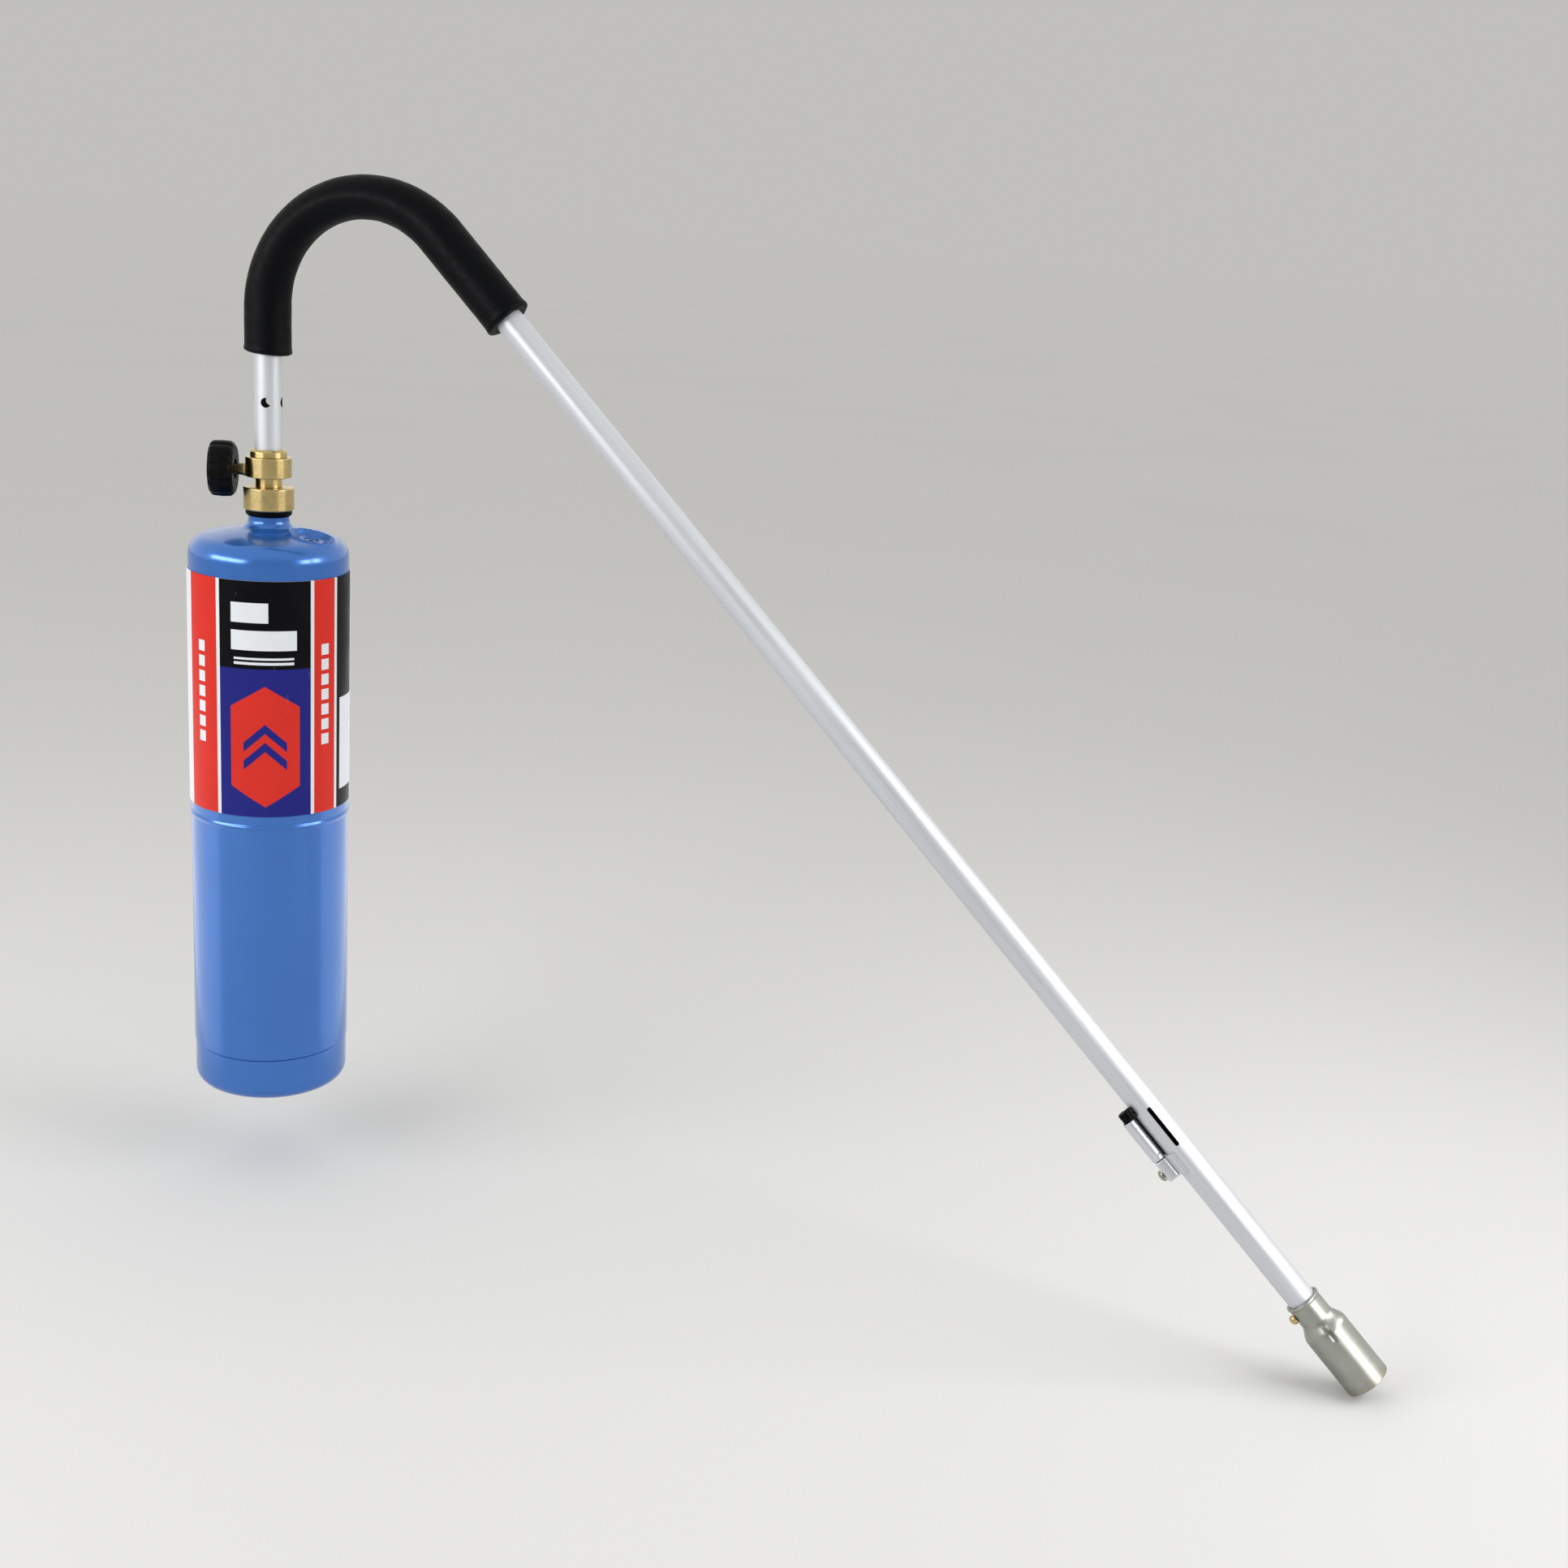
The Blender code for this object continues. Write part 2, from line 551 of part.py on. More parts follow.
def radial_cutter(name, radius, turn, along, low, high):
    """Cutter that points outwards from the lance's axis, between two distances from it."""
    place = around_lance(turn, 0, along) @ ACROSS
    return rod(name, radius, low, high, place, None, steps=SMALL_STEPS, group=CUTTERS)


def fastener_holes():
    radial_cutter("bracket_screw_hole", 0.0015, IGNITER_TURN, BRACKET_SCREW_AT, 0.0040, 0.0150)
    radial_cutter("lead_hole", 0.0014, IGNITER_TURN, LEAD_AT, 0.0035, 0.0099)
    radial_cutter("burner_screw_hole", 0.0013, BURNER_SCREW_TURN, SCREW_AT, 0.0040, 0.0100)


def igniter_case():
    edge = 0.0003
    profile = [(IGNITER_R - edge, IGNITER_LENGTH), (IGNITER_R, IGNITER_LENGTH - edge), (IGNITER_R, edge),
               (IGNITER_R - edge, 0), (CASE_BORE, 0), (CASE_BORE, IGNITER_LENGTH)]
    turned("igniter_case", profile, igniter_frame(), SATIN_TUBE, closed=True)


def igniter_button(parent):
    """Round cap above the case with a stem inside it."""
    top = BUTTON_TOP - IGNITER_TOP
    stem_r, stem_end, cap_low, edge = 0.0013, 0.0035, -0.0002, 0.0005
    profile = [(0, stem_end), (stem_r, stem_end), (stem_r, cap_low), (BUTTON_R, cap_low),
               (BUTTON_R, top + edge), (BUTTON_R - edge, top), (0, top)]
    turned("igniter_button", profile, igniter_frame(), BLACK_PLASTIC, steps=16, parent=parent)


def igniter_works(parent):
    """Spring and hammer that the button drives, and the piezo element with its terminal."""
    inner = CASE_BORE - GAP - 0.00005
    coil = spring_points(0.0019, 0.0034, 0.0068, 3)
    curve_mesh("igniter_spring", coil, 0.00025, igniter_frame(), STEEL, resolution=1, parent=parent)
    rod("igniter_hammer", inner, 0.0074, 0.0118, igniter_frame(), STEEL, steps=SMALL_STEPS, parent=parent)
    rod("piezo_element", inner, 0.0134, 0.0184, igniter_frame(), CERAMIC, steps=SMALL_STEPS)
    pin_r, pin_end, disc_end, disc_top = 0.0008, 0.0213, 0.0199, 0.0188
    profile = [(0, pin_end), (pin_r, pin_end), (pin_r, disc_end), (inner, disc_end), (inner, disc_top),
               (0, disc_top)]
    turned("igniter_terminal", profile, igniter_frame(), BRASS, steps=SMALL_STEPS)


def igniter_bracket():
    """Foot under the case: a standoff on a saddle that follows the lance."""
    start = IGNITER_LENGTH + GAP
    inner, outer = TUBE_R + GAP, TUBE_R + 0.0011
    width = 0.0054
    half = BRACKET_LENGTH / 2
    standoff = BRACKET_REACH - outer + 0.0004
    middle = IGNITER_TOP + start + half
    place = around_lance(IGNITER_TURN, BRACKET_REACH - standoff / 2, middle)
    foot = block("igniter_bracket", (standoff, width, BRACKET_LENGTH), place, SATIN_TUBE)
    soften(foot, 0.0007)
    saddle_place = around_lance(IGNITER_TURN, 0, middle)
    saddle = ring("saddle", inner, outer, -half, half, saddle_place, None, steps=BRASS_STEPS, group=CUTTERS)
    side_place = around_lance(IGNITER_TURN, 0.0070, middle)
    side = block("saddle_side", (0.0080, 0.0110, 0.0200), side_place, None, CUTTERS)
    cut(saddle, side, operation="INTERSECT")
    cut(foot, saddle, operation="UNION")
    pin_hole = cylinder_cutter("terminal_hole", 0.0011, 0.0042, igniter_frame(start + 0.0011), SMALL_STEPS)
    cut(foot, bpy.data.objects["bracket_screw_hole"], bpy.data.objects["lead_hole"], pin_hole)


def round_screw(name, head_r, head_height, shank_r, reach, turn, along, colour):
    """Round-headed screw whose head sits at a reach from the lance's axis and whose shank points at it."""
    shank_end = TUBE_R - TUBE_WALL - 0.0001
    place = around_lance(turn, 0, along) @ ACROSS
    top = reach + head_height
    profile = [(0, top), (head_r * 0.55, top - head_height * 0.12),
               (head_r * 0.88, top - head_height * 0.45), (head_r, reach + head_height * 0.15),
               (head_r, reach), (shank_r, reach), (shank_r, shank_end), (0, shank_end)]
    turned(name, profile, place, colour, steps=16)


def igniter_clip():
    """Small lug beside the button, with an eye through it and a thin rib down the groove beside the case."""
    size = (0.0024, 0.0030, 0.0050)
    place = around_lance(CLIP_TURN, TUBE_R + GAP + size[0] / 2 + 0.0001, CLIP_AT)
    lug = block("igniter_clip", size, place, BLACK_PLASTIC)
    soften(lug, 0.0003)
    sideways = place @ Matrix.Rotation(pi / 2, 4, "X")
    cut(lug, cylinder_cutter("clip_eye", 0.00065, 0.0060, sideways, SMALL_STEPS))
    start = CLIP_AT + 0.0012
    length = RIB_END - start
    groove_place = around_lance(RIB_TURN, RIB_REACH, start + length / 2)
    cut(lug, cylinder_cutter("clip_rib", RIB_R, length, groove_place, SMALL_STEPS), operation="UNION")


def ignition_lead():
    """Insulated lead from the terminal into the lance and along it to the ceramic insulator."""
    bend = 0.0036
    turn_in = [(LEAD_REACH + bend * (1 - sin(a)), LEAD_AT + bend * (1 - cos(a)))
               for a in [pi / 2 * i / 6 for i in range(7)]]
    route = [(TUBE_R + IGNITER_R, LEAD_AT)] + turn_in
    run = INSULATOR_LOW - GAP - turn_in[-1][1]
    route += [(LEAD_REACH, turn_in[-1][1] + run * i / 8) for i in range(1, 9)]
    points = [(reach, 0, along) for reach, along in route]
    lead_r = 0.0007
    place = around_lance(IGNITER_TURN, 0, 0)
    curve_mesh("ignition_lead", points, lead_r, place, BLACK_RUBBER)


# ---- burner --------------------------------------------------------------------------------------------
def burner_profile(offset, lip):
    """Side of the burner from mouth to lip, at a depth below its outer skin."""
    flare = 5
    neck, barrel = BURNER_NECK_R - offset, BURNER_R - offset
    side = [(barrel, BURNER_MOUTH)]
    for i in range(flare + 1):
        step = i / flare
        blend = (1 + cos(pi * step)) / 2
        along = BURNER_FLARE_END + (BURNER_NECK_END - BURNER_FLARE_END) * step
        side.append((neck + (barrel - neck) * blend, along))
    return side + lip


def burner_head():
    rolled_r = BURNER_NECK_R + 0.0004
    lip = [(BURNER_NECK_R, BURNER_LIP + 0.0012), (rolled_r, BURNER_LIP + 0.0006), (rolled_r, BURNER_LIP)]
    outer = burner_profile(0, lip)
    inner = burner_profile(BURNER_WALL, [(BURNER_NECK_R - BURNER_WALL, BURNER_LIP)])
    burner = turned("burner_head", outer + inner[::-1], LANCE, NICKEL, steps=BRASS_STEPS, closed=True)
    dent = (around_lance(FRONT_TURN, BURNER_NECK_R + 0.0031, DIMPLE_AT)
            @ Matrix.Rotation(radians(14), 4, "Y"))
    dimple = cylinder_cutter("dimple", 0.0012, 0.0094, dent, SMALL_STEPS)
    cut(burner, bpy.data.objects["burner_screw_hole"], dimple)


def flame_holder():
    disc_r = BURNER_R - BURNER_WALL - GAP - 0.00005
    disc = rod("flame_holder", disc_r, HOLDER_LOW, HOLDER_HIGH, LANCE, STEEL, steps=BRASS_STEPS)
    middle = (HOLDER_LOW + HOLDER_HIGH) / 2
    vents, vent_r, vent_reach = 6, 0.0015, 0.0060
    through = 0.0060
    for i in range(vents):
        place = around_lance(IGNITER_TURN + 2 * pi * (i + 0.5) / vents, vent_reach, middle)
        cut(disc, cylinder_cutter(f"vent_{i + 1}", vent_r, through, place, steps=SMALL_STEPS))
    hole_place = around_lance(IGNITER_TURN, LEAD_REACH, middle)
    cut(disc, cylinder_cutter("insulator_hole", 0.0016, through, hole_place))


def spark_electrode():
    place = around_lance(IGNITER_TURN, LEAD_REACH, 0)
    wire_low = INSULATOR_LOW + 0.0040
    ring("electrode_insulator", 0.0007, 0.0013, INSULATOR_LOW, INSULATOR_HIGH, place, CERAMIC,
         steps=SMALL_STEPS)
    rod("spark_electrode", 0.0004, wire_low, ELECTRODE_HIGH, place, STEEL, steps=SMALL_STEPS)


# ---- the whole torch -----------------------------------------------------------------------------------
def main():
    clear_scene()
    tank_axis = axis_empty("cylinder_axis", TANK)
    knob_axis = axis_empty("knob_axis", SPINDLE)
    button_axis = axis_empty("button_axis", igniter_frame())
    cylinder_shell(tank_axis)
    cylinder_base(tank_axis)
    label_sleeve(tank_axis)
    relief_valve(tank_axis)
    neck_boss(tank_axis)
    neck_seal(tank_axis)
    tank_valve(tank_axis)
    inlet()
    valve_body()
    gas_jet()
    tube_ferrule()
    packing_gland()
    valve_spindle(knob_axis)
    spindle_o_ring(knob_axis)
    control_knob(knob_axis)
    fastener_holes()
    main_tube()
    foam_grip()
    igniter_case()
    igniter_button(button_axis)
    igniter_works(button_axis)
    igniter_bracket()
    bracket_top = BRACKET_REACH + GAP
    round_screw("bracket_screw", 0.0025, 0.0019, 0.0012, bracket_top, IGNITER_TURN, BRACKET_SCREW_AT, BRASS)
    igniter_clip()
    ignition_lead()
    burner_head()
    neck_top = BURNER_NECK_R + GAP
    round_screw("burner_screw", 0.0021, 0.0021, 0.0010, neck_top, BURNER_SCREW_TURN, SCREW_AT, BRASS)
    flame_holder()
    spark_electrode()


main()
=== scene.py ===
"""Looks of the propane torch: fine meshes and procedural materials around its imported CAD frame.

Metres, +Z up, in the frame's own coordinates.  Heights on the gas cylinder and the valve are measured from
the cylinder's foot, and distances along the lance from the end of the hook's bend.
"""
import json
from math import asin, atan2, ceil, cos, hypot, pi, radians, sin, sqrt, tan

import bpy
import bmesh
from mathutils import Matrix, Vector, noise


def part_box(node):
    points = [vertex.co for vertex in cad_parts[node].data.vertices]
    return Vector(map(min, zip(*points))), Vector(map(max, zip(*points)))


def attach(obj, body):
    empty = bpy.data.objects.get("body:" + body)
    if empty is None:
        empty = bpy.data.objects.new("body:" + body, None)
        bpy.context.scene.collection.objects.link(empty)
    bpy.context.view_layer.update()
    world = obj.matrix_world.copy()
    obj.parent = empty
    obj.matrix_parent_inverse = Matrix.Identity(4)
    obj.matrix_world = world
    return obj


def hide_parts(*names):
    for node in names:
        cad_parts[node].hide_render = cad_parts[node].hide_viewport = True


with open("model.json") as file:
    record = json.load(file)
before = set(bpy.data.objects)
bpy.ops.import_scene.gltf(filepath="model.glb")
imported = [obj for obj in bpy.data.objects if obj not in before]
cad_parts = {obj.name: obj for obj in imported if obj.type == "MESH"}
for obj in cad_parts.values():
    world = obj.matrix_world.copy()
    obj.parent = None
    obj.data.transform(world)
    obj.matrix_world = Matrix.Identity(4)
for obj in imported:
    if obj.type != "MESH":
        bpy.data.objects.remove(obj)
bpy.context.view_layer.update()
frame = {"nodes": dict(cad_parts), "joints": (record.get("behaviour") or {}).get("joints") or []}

# ---- sizes, the same as the CAD part's ----
GAP = 0.0003

SHELL_R = 0.0350          # gas cylinder
SHELL_WALL = 0.0010
KNUCKLE_Z = 0.2505
KNUCKLE_R = 0.0090
KNUCKLE_SWEEP = radians(74)
NECK_R = 0.0089
RELIEF_REACH = 0.0217
RELIEF_R = 0.0043
DISH_DEPTH = 0.0020
BASE_R = 0.0346
BEAD_Z = 0.1329
FOOT_IN = 0.0230
FLANGE_TOP = 0.2680
STEM_R = 0.0074

WAIST_R = 0.00575         # valve
BLOCK_LOW = 0.2850
FERRULE_HIGH = 0.2972
GLAND_BORE = 0.0021
GLAND_OUT = 0.0150
KNOB_R = 0.01225
KNOB_IN = 0.0143
KNOB_OUT = 0.0254
KNOB_RECESS = 0.0163
SHAFT_END = 0.0215

TUBE_R = 0.0060           # hooked tube and grip
TUBE_WALL = 0.0009
TUBE_LOW = 0.2922
AIR_HOLE_Z = 0.3177
AIR_HOLE_R = 0.00215
AIR_HOLE_TURNS = (radians(-69), radians(21))
BEND_Z = 0.3587
BEND_R = 0.0483
GRIP_R = 0.0100
GRIP_BORE = 0.00635
GRIP_LOW = 0.3378
GRIP_END = 0.0456

IGNITER_TOP = 0.4641      # igniter
IGNITER_LENGTH = 0.0197
IGNITER_R = 0.0030
IGNITER_TURN = radians(-69)
BUTTON_R = 0.00217
BUTTON_TOP = 0.4596
CASE_BORE = 0.0025
LEAD_AT = 0.4866
BRACKET_SCREW_AT = 0.4903
SLOT_TURN = radians(24)
SLOT_WIDTH = 0.0018
SLOT_LOW = 0.4830
BRACKET_REACH = 0.0119
BRACKET_LENGTH = 0.0098
CLIP_TURN = radians(-39)
CLIP_AT = 0.4613
# thin black strip in the groove beside the igniter case: a painted shadow
SHADE_STRIP_TURN = radians(-49.5)
SHADE_STRIP_REACH = 0.0067
SHADE_STRIP_R = 0.0004
SHADE_STRIP_END = 0.4835

BURNER_LIP = 0.5650       # burner
BURNER_NECK_END = 0.5742
BURNER_FLARE_END = 0.5810
BURNER_MOUTH = 0.6081
BURNER_NECK_R = 0.0071
BURNER_WALL = 0.0008
SCREW_AT = 0.5697
BURNER_SCREW_TURN = radians(-64)
FRONT_TURN = radians(21)
DIMPLE_AT = 0.5801
DIMPLE_HALF = 0.0047
DIMPLE_WIDTH = 0.0015
DIMPLE_TURN = -pi / 2 - FRONT_TURN
LEAD_REACH = 0.0030

# ---- places, from the frame ----
shell_low, shell_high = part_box("cylinder_shell")
burner_low, burner_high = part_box("burner_head")
FOOT_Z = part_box("cylinder_base")[0].z
AXIS_X = (shell_low.x + shell_high.x) / 2
TANK = Matrix.Translation((AXIS_X, 0, FOOT_Z))


def height(node, top):
    """Height of a node's top or bottom above the cylinder's foot."""
    low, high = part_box(node)
    return (high.z if top else low.z) - FOOT_Z


def joint(name):
    return next(j for j in frame["joints"] if j["name"] == name)


def basis(origin, x, z):
    """Frame at a point with given X and Z directions."""
    y = z.cross(x)
    return Matrix.Translation(origin) @ Matrix((x, y, z)).transposed().to_4x4()


KNOB_AXIS = Vector(joint("knob_turn")["axis"]).normalized()
SPINDLE_Z = joint("knob_turn")["pos_m"][2]
SPINDLE = basis(Vector((AXIS_X, 0, SPINDLE_Z)), Vector((0, 0, 1)), KNOB_AXIS)
LANCE_AXIS = Vector(joint("button_press")["axis"]).normalized()
LANCE_UP = Vector((-LANCE_AXIS.z, 0, LANCE_AXIS.x))
LANCE_ANGLE = atan2(LANCE_AXIS.x, -LANCE_AXIS.z)
BURNER_R = (burner_high.y - burner_low.y) / 2
MOUTH = Vector((burner_high.x - BURNER_R * cos(LANCE_ANGLE), 0, burner_low.z + BURNER_R * sin(LANCE_ANGLE)))
LANCE = basis(MOUTH - LANCE_AXIS * BURNER_MOUTH, -LANCE_UP, LANCE_AXIS)
ACROSS = Matrix.Rotation(pi / 2, 4, "Y")      # turns a piece's Z axis onto X

SEAM_Z = height("cylinder_shell", False)
NECK_TOP = height("cylinder_shell", True)
LABEL_LOW = height("label_sleeve", False)
LABEL_HIGH = height("label_sleeve", True)
LABEL_R = (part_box("label_sleeve")[1].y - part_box("label_sleeve")[0].y) / 2
COLLAR_LOW = height("inlet_collar", False)
COLLAR_HIGH = height("inlet_collar", True)
COLLAR_R = (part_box("inlet_collar")[1].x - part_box("inlet_collar")[0].x) / 2
BLOCK_HIGH = height("valve_body", True)
BLOCK_R = (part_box("valve_body")[1].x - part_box("valve_body")[0].x) / 2
STEM_TOP = height("neck_boss", True)
CROWN_R = KNUCKLE_R + (SHELL_R - KNUCKLE_R) / cos(KNUCKLE_SWEEP)
CROWN_Z = KNUCKLE_Z - (SHELL_R - KNUCKLE_R) * tan(KNUCKLE_SWEEP)


def around_lance(turn, reach, along):
    """Frame beside the lance: Z runs down the lance, X points outwards from the lance's axis."""
    return (LANCE @ Matrix.Translation((0, 0, along)) @ Matrix.Rotation(-pi / 2 - turn, 4, "Z")
            @ Matrix.Translation((reach, 0, 0)))


# ---- node materials ----
def srgb(red, green, blue):
    """Linear colour of an 8-bit screen colour."""
    linear = []
    for part in (red, green, blue):
        share = part / 255
        linear.append(share / 12.92 if share <= 0.04045 else ((share + 0.055) / 1.055) ** 2.4)
    return (*linear, 1)


def shaded(colour, share):
    """A colour made darker or lighter."""
    return (*(min(1, part * share) for part in colour[:3]), 1)


class Nodes:
    """Short calls that add nodes to a node tree and link them."""

    def __init__(self, tree):
        self.tree = tree

    def node(self, kind, inputs=None, **settings):
        made = self.tree.nodes.new(kind)
        for key, value in settings.items():
            setattr(made, key, value)
        for key, value in (inputs or {}).items():
            self.feed(made.inputs[key], value)
        return made

    def feed(self, socket, value):
        if isinstance(value, bpy.types.NodeSocket):
            self.tree.links.new(value, socket)
        else:
            socket.default_value = value

    def spread(self, value, low, high, out_low, out_high, **settings):
        inputs = {"Value": value, "From Min": low, "From Max": high, "To Min": out_low, "To Max": out_high}
        return self.node("ShaderNodeMapRange", inputs, **settings).outputs["Result"]


class Finish(Nodes):
    """A node material being built: a Principled shader and short calls for the nodes that feed it."""

    def __init__(self, name, **sockets):
        self.material = bpy.data.materials.new(name)
        self.material.use_nodes = True
        super().__init__(self.material.node_tree)
        self.shader = self.tree.nodes["Principled BSDF"]
        self.height = None
        for socket, value in sockets.items():
            self.shader.inputs[socket.replace("_", " ")].default_value = value
        self.coords = self.node("ShaderNodeTexCoord").outputs["Object"]

    def set(self, socket, value):
        self.feed(self.shader.inputs[socket], value)

    def math(self, operation, *values):
        return self.node("ShaderNodeMath", dict(enumerate(values)), operation=operation).outputs[0]

    def add(self, first, second):
        return self.math("ADD", first, second)

    def less(self, first, second):
        return self.math("SUBTRACT", first, second)

    def times(self, first, second):
        return self.math("MULTIPLY", first, second)

    def grain(self, scale, stretch=(1, 1, 1), detail=3, coords=None):
        """Noise from 0 to 1, with its features per metre given by scale and drawn out by stretch."""
        inputs = {"Vector": coords or self.coords, "Scale": stretch}
        place = self.node("ShaderNodeMapping", inputs).outputs[0]
        inputs = {"Vector": place, "Scale": scale, "Detail": detail}
        return self.node("ShaderNodeTexNoise", inputs).outputs["Fac"]

    def cells(self, scale):
        return self.node("ShaderNodeTexVoronoi", {"Vector": self.coords, "Scale": scale}).outputs["Distance"]

    def clouds(self, low, high, *grain, **settings):
        """Soft noise from a low to a high value."""
        return self.spread(self.grain(*grain, **settings), 0.3, 0.7, low, high)

    def mix(self, share, first, second, blend="MIX"):
        made = self.node("ShaderNodeMix", data_type="RGBA", blend_type=blend)
        self.feed(made.inputs["Factor"], share)
        self.feed(made.inputs[6], first)
        self.feed(made.inputs[7], second)
        return made.outputs[2]

    def axes(self):
        """X, Y and Z of the object's own coordinates."""
        return list(self.node("ShaderNodeSeparateXYZ", {0: self.coords}).outputs)

    def bump(self, value, depth, strength=1.0):
        """Adds a relief of a real depth in metres."""
        inputs = {"Height": value, "Distance": depth, "Strength": strength}
        if self.height:
            inputs["Normal"] = self.height
        self.height = self.node("ShaderNodeBump", inputs).outputs["Normal"]
        self.set("Normal", self.height)

    def vary(self, base, amount, scale=60, stretch=(1, 1, 1)):
        """Base colour with slow light and dark variation of a given amount."""
        share = self.clouds(0, 1, scale, stretch)
        colour = self.mix(share, shaded(base, 1 - amount), shaded(base, 1 + amount))
        self.set("Base Color", colour)
        return colour


def paint(name, colour, rub_low, rub_high):
    """Gloss enamel with a little metal in it: orange peel, dust, and chips between two heights."""
    made = Finish(name, Metallic=0.45, Roughness=0.24, Coat_Weight=0.5, Coat_Roughness=0.12, IOR=1.5)
    base = made.vary(colour, 0.04, 25)
    dust = made.spread(made.grain(900, detail=2), 0.66, 0.78, 0, 0.03)
    base = made.mix(dust, base, srgb(120, 150, 190))
    z = made.axes()[2]
    soft = 0.0004
    above = made.spread(z, rub_low, rub_low + soft, 0, 1)
    below = made.spread(z, rub_high - soft, rub_high, 1, 0)
    chips = made.spread(made.grain(380, (1, 1, 2.5), 5), 0.60, 0.66, 0, 0.85)
    chips = made.times(made.times(above, below), chips)
    made.set("Base Color", made.mix(chips, base, srgb(120, 125, 130)))
    made.set("Roughness", made.clouds(0.20, 0.28, 140, detail=4))
    made.bump(made.grain(700, detail=2), 0.000006, 0.3)
    return made.material


def turned_brass(name):
    """Bright brass off a lathe: fine rings round the piece, slight tarnish."""
    made = Finish(name, Metallic=1.0, Roughness=0.2, Anisotropic=0.75, Anisotropic_Rotation=0.25)
    colour = made.vary(srgb(204, 182, 126), 0.08, 110)
    tarnish = made.spread(made.grain(260, detail=5), 0.5, 0.8, 0, 0.30)
    made.set("Base Color", made.mix(tarnish, colour, srgb(118, 98, 56)))
    rings = made.grain(300, (0.05, 0.05, 40), 2)
    made.set("Roughness", made.spread(rings, 0.3, 0.7, 0.22, 0.32))
    made.bump(rings, 0.000006, 0.3)
    return made.material


def satin_metal(name, colour, roughness, turn=0.0):
    """Lacquered drawn metal with a fine grain along the piece, which may be slanted by a turn about Y."""
    made = Finish(name, Metallic=0.55, Roughness=roughness, Specular_IOR_Level=0.3)
    along = made.node("ShaderNodeMapping", {"Vector": made.coords, "Rotation": (0, turn, 0)}).outputs[0]
    lines = made.grain(900, (1, 1, 0.02), 4, along)
    cloud = made.grain(40, (1, 1, 0.3), 3, along)
    made.set("Base Color", made.mix(made.spread(lines, 0.3, 0.7, 0, 1), shaded(colour, 0.90), colour))
    value = made.add(made.spread(lines, 0.3, 0.7, -0.05, 0.05), made.spread(cloud, 0.3, 0.7, -0.04, 0.04))
    made.set("Roughness", made.add(value, roughness))
    made.bump(lines, 0.000006, 0.6)
    return made.material


def bright_steel(name, colour):
    made = Finish(name, Metallic=1.0, Roughness=0.25)
    made.vary(colour, 0.06, 300)
    made.set("Roughness", made.clouds(0.2, 0.36, 500))
    made.bump(made.grain(1500, detail=2), 0.00001, 0.4)
    return made.material


def burner_nickel(name):
    """Warm grey plating with long drawn lines, painted shade in the dimple and browned by heat at the mouth.
    """
    made = Finish(name, Metallic=1.0, Roughness=0.3)
    colour = made.vary(srgb(160, 162, 155), 0.08, 160)
    x, y, z = made.axes()
    flare_r = 0.0085
    # painted shade: a mask over the pressed dimple darkens the colour in its hollow
    across = made.times(made.less(made.math("ARCTAN2", y, x), DIMPLE_TURN), flare_r / DIMPLE_WIDTH)
    along = made.times(made.less(z, DIMPLE_AT), 1 / DIMPLE_HALF)
    reach = made.math("SQRT", made.add(made.math("POWER", across, 2.0), made.math("POWER", along, 2.0)))
    painted_dimple_shade = made.spread(reach, 0.4, 1.05, 0.6, 0)
    colour = made.mix(painted_dimple_shade, colour, srgb(70, 70, 64))
    heat = made.add(z, made.clouds(-0.0015, 0.0015, 220))
    heat = made.spread(heat, BURNER_MOUTH - 0.0045, BURNER_MOUTH, 0, 0.45)
    made.set("Base Color", made.mix(heat, colour, srgb(150, 132, 108)))
    lines = made.grain(700, (1, 1, 0.04), 4)
    made.set("Roughness", made.spread(lines, 0.3, 0.7, 0.32, 0.44))
    made.bump(lines, 0.00001, 0.6)
    made.bump(made.grain(350, detail=3), 0.00001, 0.3)
    return made.material


def moulded_plastic(name, colour):
    """Black moulded plastic with a fine spark-eroded texture."""
    made = Finish(name, Roughness=0.36, IOR=1.5, Specular_IOR_Level=0.08)
    made.vary(colour, 0.15, 120)
    made.set("Roughness", made.clouds(0.34, 0.5, 600, detail=4))
    made.bump(made.cells(2600), 0.00003, 0.5)
    return made.material


def closed_foam(name):
    """Soft black closed-cell foam: a dull skin of small cells."""
    made = Finish(name, Roughness=0.48, Specular_IOR_Level=0.08)
    made.vary(srgb(4, 5, 8), 0.15, 90)
    made.set("Roughness", made.clouds(0.42, 0.56, 300))
    made.bump(made.cells(1500), 0.00006, 0.4)
    made.bump(made.spread(made.cells(520), 0.0, 0.22, 0, 1), 0.00004, 0.25)
    return made.material


def soft_rubber(name):
    made = Finish(name, Roughness=0.5, Specular_IOR_Level=0.06)
    made.vary(srgb(5, 5, 5), 0.2, 200)
    made.bump(made.grain(1200, detail=3), 0.00003, 0.5)
    return made.material


def white_ceramic(name):
    made = Finish(name, Roughness=0.5)
    made.vary(srgb(236, 232, 222), 0.04, 300)
    made.bump(made.grain(2200, detail=3), 0.00002, 0.4)
    return made.material


# ---- label print ----
LABEL_RED = srgb(210, 50, 40)
LABEL_BLUE = srgb(35, 37, 122)
LABEL_BLACK = srgb(5, 5, 9)
LABEL_WHITE = srgb(222, 225, 230)
PANEL_LEFT = radians(-94.0)         # edges round the cylinder, from +X
PANEL_RIGHT = radians(-28.2)
LINE_WIDTH = radians(2.8)
LEFT_RED_END = radians(-126.7)
RIGHT_RED_END = radians(-6.0)
BLACK_STRIP_END = radians(24)
TITLE_SHARE = 0.366                 # part of the panel's height that is black
STRIPE_HALF = radians(3.4)
STRIPE_LOW = 0.1700
STRIPE_DASHES = 7
DASH_PITCH = 0.0068
DASH_SHARE = 0.72


